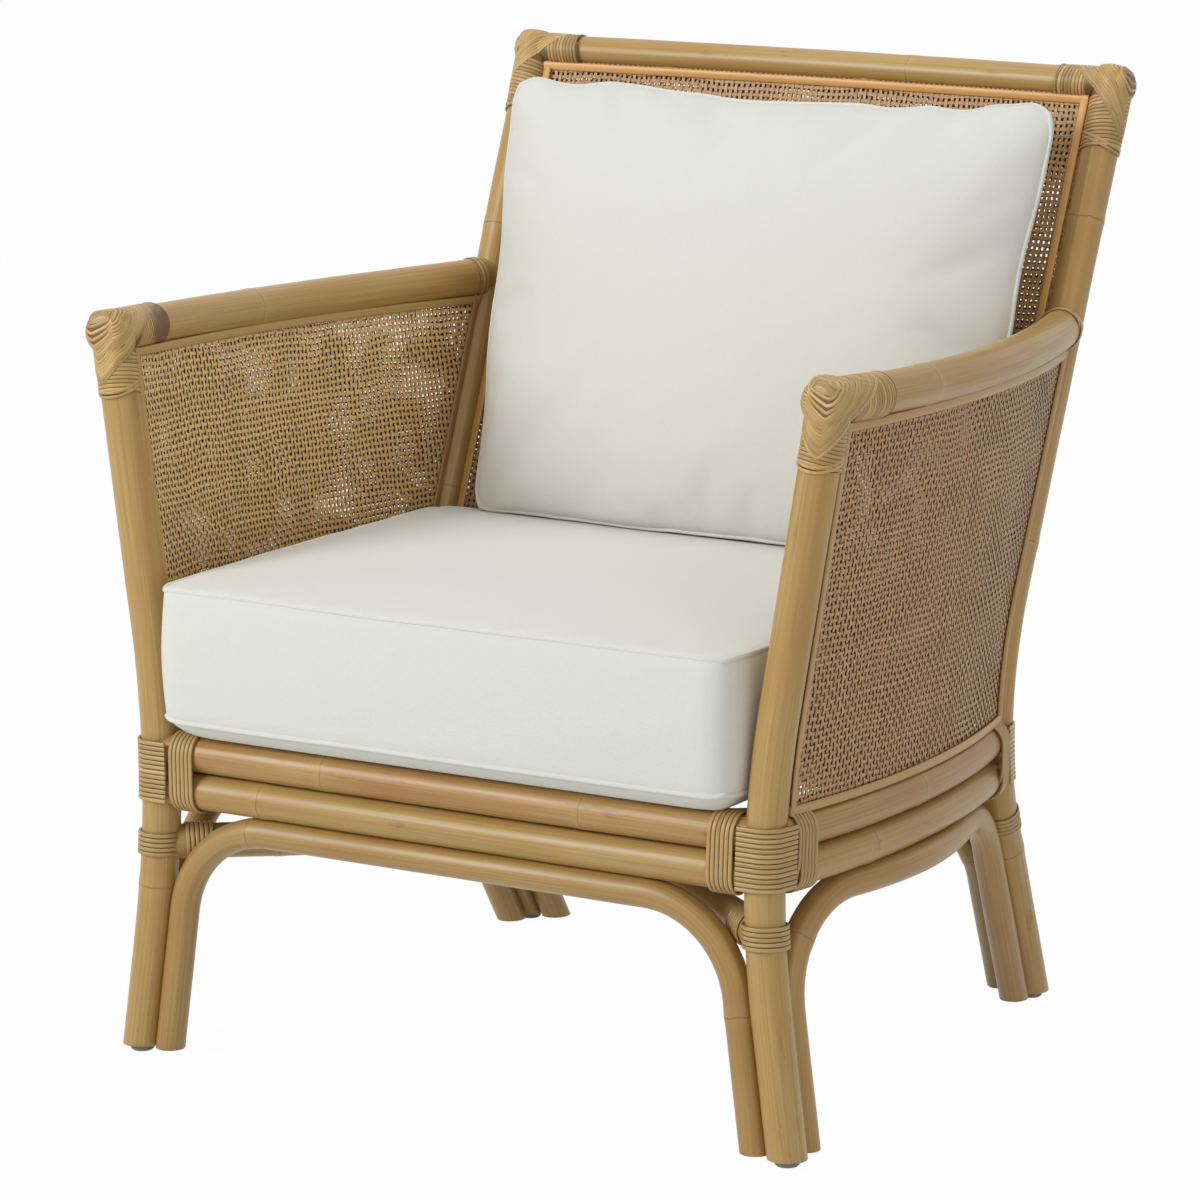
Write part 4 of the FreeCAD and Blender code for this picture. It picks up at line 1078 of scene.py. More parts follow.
@dataclass
class Bindings:
    """Strands wound round the poles, all but the woven corners."""

    lines: ChairLines
    tree: ShapeTree
    pitch: float = 4.2
    strand: float = 3.4
    width: float = 4.05
    thick: float = 2.9
    thin: float = 1.9
    thick_rise: float = 1.7
    thin_rise: float = 0.85
    sleeve_rise: float = 1.0
    seat: float = 0.15
    wrap_turns: int = 6
    leg_turns: int = 5
    arm_turns: float = 2.2
    stretcher_start: float = 13.5
    arm_start: float = 4.5
    band_passes: int = 13
    band_points: int = 30
    band_rise: float = 0.3
    thin_band_rise: float = 0.9
    stub_more: float = 4.0
    stub_dip: float = 0.4

    def make(self, node: str, lay: Lay, thickness: float) -> None:
        """Turn right strands and their mirror images into the piece of a CAD node."""
        strand = Strand(self.width, thickness, 12, 2.4, len(node))
        material = Wood.STRAND.material()
        own(strand.along(self.tree, "strands_" + node, lay.both(), material),
            "frame", "binding", node)

    def rail_wrap(self, upper: Path, lower: Path, distance: float) -> Lay:
        """Turns round both rails at a distance in millimetres from an end of the upper one."""
        high, way = along_path(upper, distance * MM)
        low = nearest_on(lower, high)
        up = (high - low).normalized()
        along = (way - up * way.dot(up)).normalized()
        radius = (self.lines.rail_size + self.strand) / 2 + self.seat
        half = (high - low).length / 2
        return winding((high + low) / 2, along, up, radius, half, self.wrap_turns, self.pitch)

    def post_band(self, axis: Path, along_side: Vector, radius: float, stub: float) -> Lay:
        """Strands laid round the outer corner of a post, between the wraps on its rails.

        Args:
            axis: The post's axis.
            along_side: Direction of the side rail, away from the post.
            radius: Radius of the strands' centre line, in millimetres.
            stub: Straight length at each end, in millimetres.

        Returns:
            One strand for each level.
        """
        c, inward = self.lines, -RIGHT
        front, outside = UP.cross(inward), along_side.cross(UP)
        if front.dot(along_side) > 0:
            front, outside = -front, -outside
        if outside.dot(inward) > 0:
            outside = -outside
        ahead = front.cross(outside).normalized().cross(front)
        sweep = front.angle(outside)
        turns = [sweep * k / self.band_points for k in range(self.band_points + 1)]
        outs = [front * math.cos(t) + ahead * math.sin(t) for t in turns]

        def stub_of(spot: Vector, way: Vector, out: Vector) -> Path:
            """The straight end of a strand, which dips at its last point."""
            return [spot + way * (stub * MM * k / 4) - out * (self.stub_dip * MM * (k > 3))
                    for k in (1, 2, 3, 4)]

        lay = Lay()
        for number in range(self.band_passes):
            middle = (c.upper_rail + c.lower_rail) / 2
            height = middle + (number - (self.band_passes - 1) / 2) * self.pitch
            level = at_height(axis, height * MM)
            path = [level + way * (radius * MM) for way in outs]
            start = stub_of(path[0], inward, outs[0])[::-1]
            end = stub_of(path[-1], along_side, outs[-1])
            lay.add(start + path + end, [outs[0]] * 4 + outs + [outs[-1]] * 4)
        return lay

    def build(self) -> None:
        """Make every wound binding."""
        c = self.lines
        half_wrap = self.wrap_turns * self.pitch / 2 + self.strand
        beside_front = c.front_post_size / 2 + half_wrap
        beside_back = c.back_post_size / 2 + half_wrap
        fronts, sides, backs = ([rail(c.upper_rail), rail(c.lower_rail)]
                                for rail in (c.front_rail, c.side_rail, c.back_rail))
        for node, rails, distance in (
            ("front_rail_bindings", fronts, beside_front),
            ("side_rail_bindings_front", sides, beside_front),
            ("side_rail_bindings_back", sides, -beside_back),
            ("back_rail_bindings", backs, beside_back),
        ):
            self.make(node, self.rail_wrap(*rails, distance), self.thick)
        front_axis, back_axis = c.front_post(), c.back_post()
        rail = c.side_rail((c.upper_rail + c.lower_rail) / 2)
        stub = c.front_post_size / 2 - (self.pitch + self.strand) / 2 + self.stub_more
        radius = (c.front_post_size + self.strand) / 2 + self.band_rise
        band = self.post_band(front_axis, (rail[1] - rail[0]).normalized(), radius, stub)
        self.make("front_post_bindings", band, self.thick)
        radius = c.back_post_size / 2 + self.thin_band_rise
        band = self.post_band(back_axis, (rail[-2] - rail[-1]).normalized(), radius, stub)
        self.make("back_post_bindings", band, self.thin)
        for node, axis, size, thickness, rise in (
            ("front_leg_bindings", front_axis, c.front_post_size, self.thick, self.thick_rise),
            ("back_leg_bindings", back_axis, c.back_post_size, self.thin, self.thin_rise),
        ):
            centre = at_height(axis, c.stretcher_height * MM)
            along = (at_height(axis, (c.stretcher_height + 1) * MM) - centre).normalized()
            up = (BACK - along * along.y).normalized()
            radius = size / 2 + self.seat + rise
            self.make(node, winding(centre, along, up, radius, 0.0, self.leg_turns, self.pitch),
                      thickness)
        front, back = c.stretcher()
        way = (back - front).normalized()
        radius = c.stretcher_size / 2 + self.sleeve_rise
        for node, post, start, direction in (
            ("stretcher_bindings_front", c.front_post_size, front, way),
            ("stretcher_bindings_back", c.back_post_size, back, -way),
        ):
            beside = post / 2 + self.strand + self.stretcher_start
            self.make(node, winding(start + direction * (beside * MM), direction, UP, radius, 0.0,
                                    self.wrap_turns, self.pitch), self.thin)
        end, way = along_path(c.arm(), -(c.back_post_size / 2 + self.arm_start) * MM)
        up = (UP - way * way.z).normalized()
        radius = c.arm_size / 2 + self.sleeve_rise
        self.make("arm_end_bindings",
                  winding(end, way, up, radius, 0.0, self.arm_turns, self.pitch), self.thin)


@dataclass(frozen=True)
class CornerShape:
    """Where the strands run over one corner, in millimetres from where the two axes meet."""

    node: str
    corner: Vector
    down: Vector
    along: Vector
    post: float
    pole: float
    post_reach: float
    pole_reach: float
    point_last: float
    pole_last: float
    turn: float


@dataclass
class CornerWeave:
    """Strands plaited over the corners of the arms and of the back."""

    lines: ChairLines
    tree: ShapeTree
    pitch: float = 3.5
    strand: Strand = Strand(3.3, 2.0, 10, 2.2, 5)
    sleeve: float = 4.0
    loops: int = 16
    loop_points: int = 120
    cast_from: float = 0.15
    first: float = -17.4
    cusp: float = 12.0
    cusp_reach: float = 1.15
    cusp_power: float = 1.2
    vee_sink: float = 1.05
    plain_sink: float = 1.3
    cover_sink: float = 1.08
    underlay: float = 0.9
    tip: float = 9.0
    slant: float = 6.0
    cover: float = 3.8

    def loop(self, surface: BVHTree, low: Vector, high: Vector, side: Vector, half: float,
             sink: float, cusp: float) -> Optional[tuple[Path, Path]]:
        """A closed loop on the corner's surface in a slanted plane.

        Args:
            surface: The corner's surface.
            low: Where the loop crosses the outer face of the post.
            high: Where it crosses the other side.
            side: Direction across both poles.
            half: Half the post's diameter, in metres.
            sink: Depth of its centre line under the surface, in millimetres.
            cusp: How far its lowest point is drawn down to a sharp V, in millimetres.

        Returns:
            The loop and its outward directions, or None where the surface is missed.
        """
        centre = (low + high) / 2
        ahead = (low - centre).normalized()
        across = (side - ahead * side.dot(ahead)).normalized()
        normal, steps = ahead.cross(across), self.loop_points
        path, outs = [], []
        for i in range(steps):
            angle = 2 * math.pi * i / steps
            way = ahead * math.cos(angle) + across * math.sin(angle)
            hit, facing, _, _ = surface.ray_cast(centre + way * self.cast_from, -way)
            if hit and cusp and math.cos(angle) > 0:
                aside = math.asin(min(1.0, abs((hit - low).dot(across)) / half))
                pull = cusp * MM * max(0.0, 1 - aside / self.cusp_reach) ** self.cusp_power
                start = centre - normal * pull + way * self.cast_from
                hit, facing, _, _ = surface.ray_cast(start, -way)
            if hit is None:
                return None
            outs.append(facing if facing.dot(way) > 0 else -facing)
            path.append(hit)
        smooth = [(outs[i - 1] + outs[i] * 2 + outs[(i + 1) % steps]).normalized()
                  for i in range(steps)]
        path = [p - o * (sink * MM) for p, o in zip(path, smooth)]
        return path + [path[0].copy()], smooth + [smooth[0].copy()]

    def weave(self, shape: CornerShape) -> Lay:
        """Strands over one corner: nested V's from the tip down, and plain turns beyond them."""
        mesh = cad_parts[shape.node].data
        surface = BVHTree.FromPolygons([v.co for v in mesh.vertices],
                                       [p.vertices for p in mesh.polygons])
        corner, down, along = shape.corner, shape.down, shape.along
        side = down.cross(along).normalized()
        turn = math.radians(shape.turn)
        face = side * math.sin(turn) - along * math.cos(turn)
        half_post, half_pole = shape.post / 2 * MM, shape.pole / 2 * MM
        lay = Lay()

        def on_post(depth: float, way: Vector) -> Vector:
            """Point on the post's surface at a depth under the corner."""
            return corner + way * half_post + down * (depth * MM)

        def add(low: Vector, high: Vector, sink: float, cusp: float = 0.0) -> None:
            """Add a loop where the surface has one."""
            found = self.loop(surface, low, high, side, half_post, sink, cusp)
            if found:
                lay.add(*found)

        for k in range(self.loops):
            share = k / (self.loops - 1)
            depth = self.first + (shape.point_last - self.first) * share
            reach = (self.first + (shape.pole_last - self.first) * share) * MM
            high = corner - down * half_pole + (along * reach if reach > 0 else -face * reach)
            add(on_post(depth - self.cusp * share, face), high, self.vee_sink,
                self.cusp * min(1.0, 0.2 + 3 * share))
        for k in range(int((shape.post_reach - half_pole / MM) / self.pitch)):
            depth = shape.post_reach - self.pitch / 2 - k * self.pitch
            add(on_post(depth - self.slant, face), on_post(depth, -face), self.plain_sink)
        for k in range(2):
            depth = shape.post_reach - self.pitch / 2 - k * self.cover
            add(on_post(depth, face), on_post(depth - 2 * self.slant, -face), self.cover_sink)
        for k in range(int((shape.pole_reach - half_post / MM) / self.pitch)):
            spot = corner + along * ((shape.pole_reach - self.pitch / 2 - k * self.pitch) * MM)
            low = spot - down * half_pole - along * (self.slant / 2 * MM)
            add(low, spot + down * half_pole, self.plain_sink)
        return lay

    def under(self, shape: CornerShape) -> None:
        """Close the gaps between the strands with a thin skin inside the CAD binding, painted dark
        as the shade between strands everywhere but near the tip.
        """
        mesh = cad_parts[shape.node].data.copy()
        moved = []
        for vertex in mesh.vertices:
            p = vertex.co - vertex.normal * (self.underlay * MM)
            side = math.copysign(1.0, p.x)
            p.x *= side
            for way, reach in ((shape.down, shape.post_reach), (shape.along, shape.pole_reach)):
                beyond = (p - shape.corner).dot(way) - (reach - self.pitch) * MM
                p -= way * max(0.0, beyond)
            p.x *= side
            moved.extend(p)
        mesh.vertices.foreach_set("co", moved)
        mesh.materials.clear()
        for finish in (Wood.STRAND, Wood.PAINTED_GAP_SHADE):
            mesh.materials.append(finish.material())
        # Painted shade: the skin takes the dark strand colour, except near the tip, which keeps the
        # strand colour.
        for polygon in mesh.polygons:
            middle = polygon.center.copy()
            middle.x = abs(middle.x)
            spot = middle - shape.corner
            below = spot.dot(shape.down) > -self.tip * MM
            polygon.material_index = int(below or spot.dot(shape.along) > 0)
        own(linked("skin_" + shape.node, mesh), "frame", "binding")

    def build(self) -> None:
        """Weave the right corners and mirror them."""
        c = self.lines
        arm = c.arm()
        along = (arm[1] - arm[0]).normalized()
        down = (place(*c.front_knee) - place(*c.front_top)).normalized()
        back_down = (place(*c.back_knee) - place(*c.back_top)).normalized()
        for shape in (
            CornerShape("arm_corner_bindings", arm[0], down, along,
                        c.front_post_size + self.sleeve, c.arm_size + self.sleeve,
                        post_reach=57.0, pole_reach=69.0, point_last=41.0, pole_last=50.0,
                        turn=22.0),
            CornerShape("top_corner_bindings", place(*c.back_top), back_down, -RIGHT,
                        c.back_post_size + self.sleeve, c.top_rail_size + self.sleeve,
                        post_reach=65.0, pole_reach=53.0, point_last=47.0, pole_last=37.0,
                        turn=0.0),
        ):
            piece = self.strand.along(self.tree, "strands_" + shape.node,
                                      self.weave(shape).both(), Wood.PLAIT.material())
            own(piece, "frame", "binding", shape.node)
            self.under(shape)


@dataclass
class PanelSurface:
    """The bowed surface between four poles that a cane sheet lies on."""

    line_at: Callable[[float], Path]
    outward: Vector
    counted_along: int

    def height(self) -> float:
        """Length of its start line from the bottom to the top, in millimetres."""
        return (self.line_at(1.0)[0] - self.line_at(0.0)[0]).length / MM

    def width(self, share: float) -> float:
        """Length of its line at a share of the height, in millimetres."""
        return lengths(self.line_at(share))[-1] / MM

    def point(self, share: float, part: float, offset: float) -> Vector:
        """Point at a share of the height and of the width, raised by some millimetres."""
        line = self.line_at(share)
        distance = max(TINY, part) * lengths(line)[-1]
        spot, way = along_path(line, distance)
        above, _ = along_path(self.line_at(min(1.0, share + 0.01)), distance)
        below, _ = along_path(self.line_at(max(0.0, share - 0.01)), distance)
        normal = way.cross(above - below).normalized()
        if normal.dot(self.outward) < 0:
            normal = -normal
        return spot + normal * (offset * MM)


@dataclass
class CanePanels:
    """The woven sheets of the sides and the back, and the strips round them."""

    lines: ChairLines
    cane: ShapeTree
    tree: ShapeTree
    cell_across: float = 5.2
    cell_height: float = 5.9
    offset: float = 6.5
    under_pole: float = 3.0
    trim_offset: float = 8.9
    trim: Strand = Strand(8.0, 3.0, 14, 5.0, 9)
    far_share: float = 0.98
    line_steps: int = 24
    rows: int = 24
    columns: int = 28

    def side_surface(self) -> PanelSurface:
        """The surface of the right side frame."""
        c = self.lines
        front_axis, back_axis = c.front_post(), c.back_post()

        def line(share: float) -> Path:
            """The arc across the side at a share of its height."""
            low = c.upper_rail
            front = at_height(front_axis, (low + share * (c.front_top[2] - low)) * MM)
            back = at_height(back_axis, (low + share * (c.arm_back - low)) * MM)
            bow = c.side_rail_bow + share * (c.arm_bow - c.side_rail_bow)
            return arc_through(*bowed(front, back, bow, RIGHT), self.line_steps)

        return PanelSurface(line, RIGHT, 1)

    def back_surface(self) -> PanelSurface:
        """The surface of the back frame, from right to left."""
        c = self.lines
        back_axis = c.back_post()

        def line(share: float) -> Path:
            """The arc across the back at a share of its height."""
            height = c.upper_rail + share * (c.back_top[2] - c.upper_rail)
            return c.over_back(at_height(back_axis, height * MM), self.line_steps)

        return PanelSurface(line, BACK, 0)

    def sheet(self, node: str, surface: PanelSurface, offset: float, margins: Sequence[float],
              mirror: bool, finish: Wood, seed: int, shrink: float) -> None:
        """Weave one sheet.

        Args:
            node: The CAD sheet that it stands for.
            surface: The surface that it follows.
            offset: Distance from the surface, in millimetres.
            margins: Bare strip at the start, end, bottom and top, in millimetres.
            mirror: Whether it is the left one.
            finish: The cane's finish.
            seed: Seed of its strands.
            shrink: Size of its cells, as a share of the usual one.
        """
        start, end, bottom, top = margins
        across, cell = self.cell_across * shrink * MM, self.cell_height * shrink * MM
        height = surface.height()
        points, uvs = [], []
        for i in range(self.rows + 1):
            share = (bottom + (height - bottom - top) * i / self.rows) / height
            width = surface.width(share)
            for j in range(self.columns + 1):
                part = (start + (width - start - end) * j / self.columns) / width
                p = surface.point(share, part, offset)
                points.append(mirrored([p])[0] if mirror else p)
                uvs.append((p[surface.counted_along], share * height * MM))
        low_u, low_v = (min(axis) for axis in zip(*uvs))
        uvs = [(u - low_u, v - low_v) for u, v in uvs]
        span_u, span_v = (max(axis) for axis in zip(*uvs))
        line = self.columns + 1
        firsts = (i * line + j for i in range(self.rows) for j in range(self.columns))
        mesh = mesh_of(node, points, faces=[(a, a + 1, a + line + 1, a + line) for a in firsts])
        layer = mesh.uv_layers.new(name="UVMap")
        for corner in mesh.loops:
            layer.data[corner.index].uv = uvs[corner.vertex_index]
        piece = self.cane.apply(
            "weave_" + node, mesh, Cell_Across=across, Cell_Height=cell,
            Columns=int(span_u / across) + 2, Rows=int(span_v / cell) + 2,
            Facing=math.copysign(1.0, -offset if mirror else offset), Seed=seed,
            Material=finish.material())
        own(piece, "frame", "cane", node)

    def strips(self, surface: PanelSurface, offset: float, insets: Sequence[float]) -> Lay:
        """Four strips round a panel's face.

        Args:
            surface: The panel's surface.
            offset: Distance of the strips' middle from the surface, in millimetres.
            insets: Distance of the strips' middle from the start, end, bottom and top axes.

        Returns:
            The strips, which face away from the panel.
        """
        start, end, bottom, top = insets
        height, reach = surface.height(), self.trim.width / 2
        low, high = bottom / height, 1 - top / height
        outward = surface.outward * math.copysign(1.0, offset)
        lay = Lay()

        def spread(first: float, last: float, steps: int) -> list[float]:
            """Even steps between two numbers."""
            return [first + (last - first) * k / steps for k in range(steps + 1)]

        def add(places: Iterable[tuple[float, float]]) -> None:
            """Add a strip through height shares and distances in millimetres."""
            path = [surface.point(share, (distance / surface.width(share)) % 1.0, offset)
                    for share, distance in places]
            outs = []
            for i in range(len(path)):
                way = (path[min(i + 1, len(path) - 1)] - path[max(i - 1, 0)]).normalized()
                outs.append((outward - way * outward.dot(way)).normalized())
            lay.add(path, outs)

        for distance in (start, -end):
            ends = low - reach / height, high + reach / height
            add((share, distance) for share in spread(*ends, 30))
        for share in (low, high):
            ends = start - reach, surface.width(share) - end + reach
            add((share, distance) for distance in spread(*ends, 40))
        return lay

    def trims(self, node: str, lay: Lay, finish: Wood) -> None:
        """Turn strips into the piece of a CAD node."""
        piece = self.trim.along(self.tree, "strips_" + node, lay, finish.material())
        own(piece, "frame", "trim", node)

    def build(self) -> None:
        """Make all sheets and strips."""
        c = self.lines
        poles = (c.front_post_size, c.back_post_size, c.rail_size, c.arm_size)
        margins = [size / 2 - self.under_pole for size in poles]
        insets = [(size + self.trim.width) / 2 for size in poles]
        side, back = self.side_surface(), self.back_surface()
        # Outer sheets take the cane painted darker as shade, inner sheets the cane painted lighter
        # as light.
        for name, sign, finish in (("outer", 1, Wood.CANE_PAINTED_SHADED), ("inner", -1, Wood.CANE_PAINTED_LIT)):
            strips = self.strips(side, sign * self.trim_offset, insets)
            for hand, mirror in (("right", False), ("left", True)):
                shrink = self.far_share if (name == "inner") != mirror else 1.0
                self.sheet(f"side_cane_{name}_{hand}", side, sign * self.offset, margins, mirror,
                           finish, 11 + sign + 4 * mirror, shrink)
                self.trims(f"side_trim_{name}_{hand}", strips.mirror() if mirror else strips,
                           Wood.TRIM)
        poles = (c.back_post_size, c.back_post_size, c.rail_size, c.top_rail_size)
        margins = [size / 2 - self.under_pole for size in poles]
        insets = [(size + self.trim.width) / 2 for size in poles]
        # Both back sheets take the cane painted darker as shade.
        for name, sign, shrink in (("rear", 1, self.far_share), ("front", -1, 1.0)):
            self.sheet(f"back_cane_{name}", back, sign * self.offset, margins, False,
                       Wood.CANE_PAINTED_SHADED, 20 + sign, shrink)
            self.trims(f"back_trim_{name}", self.strips(back, sign * self.trim_offset, insets),
                       Wood.BACK_TRIM)


@dataclass(frozen=True)
class ClothRun:
    """How a cover is filled out by a short cloth run."""

    pressure: float = 4.0
    frames: int = 20
    cap: float = 22.0
    quality: int = 6
    mass: float = 0.25
    tension: float = 14.0
    bending: float = 0.5
    growth: float = 0.0

    def fill(self, points: Path, faces: Faces, pins: dict[int, float]) -> Path:
        """Blow up a closed cover.

        Args:
            points: The cover's points.
            faces: Its faces, which look outwards.
            pins: How firmly each seam point is held, from 0 to 1.

        Returns:
            The points after the run, none of them moved by more than the cap.
        """
        mesh = mesh_of("cover", points, faces=faces)
        cover, scene = linked("cover", mesh), bpy.context.scene
        group = cover.vertex_groups.new(name="seam")
        for index, weight in pins.items():
            group.add([index], weight, "REPLACE")
        cloth = cover.modifiers.new("cloth", "CLOTH")
        cloth.point_cache.frame_start, cloth.point_cache.frame_end = 1, self.frames
        settings = cloth.settings
        settings.quality, settings.mass = self.quality, self.mass
        settings.tension_stiffness = settings.compression_stiffness = self.tension
        settings.shear_stiffness = self.tension / 2
        settings.bending_stiffness = self.bending
        settings.shrink_min = -self.growth
        settings.use_pressure = True
        settings.uniform_pressure_force = self.pressure
        settings.vertex_group_mass = "seam"
        settings.effector_weights.gravity = 0.0
        for number in range(1, self.frames + 1):
            scene.frame_set(number)
        blown = cover.evaluated_get(bpy.context.evaluated_depsgraph_get()).data
        steps = [after.co - before for before, after in zip(points, blown.vertices)]
        scene.frame_set(1)
        bpy.data.objects.remove(cover)
        bpy.data.meshes.remove(mesh)
        cap = self.cap * MM
        return [p + (step.normalized() * cap if step.length > cap else step)
                for p, step in zip(points, steps)]


@dataclass
class BackPlane:
    """Face of the back panel that the cushions lean on."""

    lines: ChairLines
    clearance: float = 8.2

    def held_off(self, p: Vector) -> Vector:
        """The point, moved forward where it would pass the panel."""
        c = self.lines
        knee, top = place(*c.back_knee), place(*c.back_top)
        way = (top - knee).normalized()
        flat = Vector((0, way.y, way.z)).normalized()
        normal = Vector((0, -flat.z, flat.y))
        bow = c.back_rail_bow * MM * (1 - min(1.0, abs(p.x) / (c.back_top[0] * MM)) ** 2)
        lack = self.clearance * MM - (p - knee).dot(normal) - bow * flat.z
        return p + normal * lack if lack > 0 else p


def rim_of(across: int, deep: int) -> list[tuple[int, int]]:
    """Keys of a grid's border, once round from its first corner."""
    first = [(i, 0) for i in range(across)] + [(across, j) for j in range(deep)]
    return first + [(across - i, deep - j) for i, j in first]


def quilt(front: dict, back: dict, across: int, deep: int) -> Faces:
    """Faces of a grid and of a second one that faces the other way."""
    faces = []
    for j in range(deep):
        for i in range(across):
            keys = (i, j), (i + 1, j), (i + 1, j + 1), (i, j + 1)
            faces.append(tuple(front[key] for key in keys))
            faces.append(tuple(back[keys[k]] for k in (0, 3, 2, 1)))
    return faces


def sewn(name: str, points: Path, faces: Faces) -> bpy.types.Object:
    """A cover as a plain, smooth mesh with one subdivision, in its cotton."""
    coarse = linked(name + "_coarse", mesh_of(name + "_coarse", points, faces=faces))
    rounder = coarse.modifiers.new("rounder", "SUBSURF")
    rounder.levels = rounder.render_levels = 1
    piece = settled(coarse, name)
    for polygon in piece.data.polygons:
        polygon.use_smooth = True
    piece.data.materials.append(CoverFinish().material())
    return piece


def welt(tree: ShapeTree, name: str, cover: bpy.types.Object, seam: Sequence[int],
         body: str) -> None:
    """A round covered cord along a closed seam.

    Args:
        tree: The strand tree.
        name: Name of the piece.
        cover: The finished cover.
        seam: The cover's points along the seam.
        body: The body that it rides on.
    """
    loop = [cover.data.vertices[index].co.copy() for index in seam]
    path = smooth_loop(loop)
    middle = sum(loop, Vector()) / len(loop)
    lay = Lay([path], [[(p - middle).normalized() for p in path]])
    cord = Strand(4.6, 4.6, 12, 4.0, 2)
    own(cord.along(tree, name, lay, CoverFinish().material()), body, "cushion_cover")


def ripple(p: Vector, scale: float, seed: float) -> float:
    """Smooth random number from -1 to 1 at a point, for small unevenness."""
    return noise.noise(Vector((p.x * scale + seed, p.y * scale - seed, p.z * scale + 2 * seed)))


def rounded_place(a: float, b: float, half_x: float, half_y: float,
                  corner: float) -> tuple[float, float]:
    """Place on a rectangle with rounded corners.

    Args:
        a: From -1 to 1 across.
        b: From -1 to 1 the other way.
        half_x: Half its size across.
        half_y: Half its size the other way.
        corner: Radius of its corners.

    Returns:
        The two distances from its middle.
    """
    x, y = a * half_x, b * half_y
    m = max(abs(a), abs(b))
    if m < TINY:
        return x, y
    edge_x, edge_y = x / m, y / m
    flat_x, flat_y = half_x - corner, half_y - corner
    if abs(edge_x) > flat_x and abs(edge_y) > flat_y:
        if abs(a) >= abs(b):
            angle = (abs(edge_y) - flat_y) / corner * math.pi / 4
        else:
            angle = math.pi / 2 - (abs(edge_x) - flat_x) / corner * math.pi / 4
        x += (math.copysign(flat_x + corner * math.cos(angle), edge_x) - edge_x) * m ** 6
        y += (math.copysign(flat_y + corner * math.sin(angle), edge_y) - edge_y) * m ** 6
    return x, y


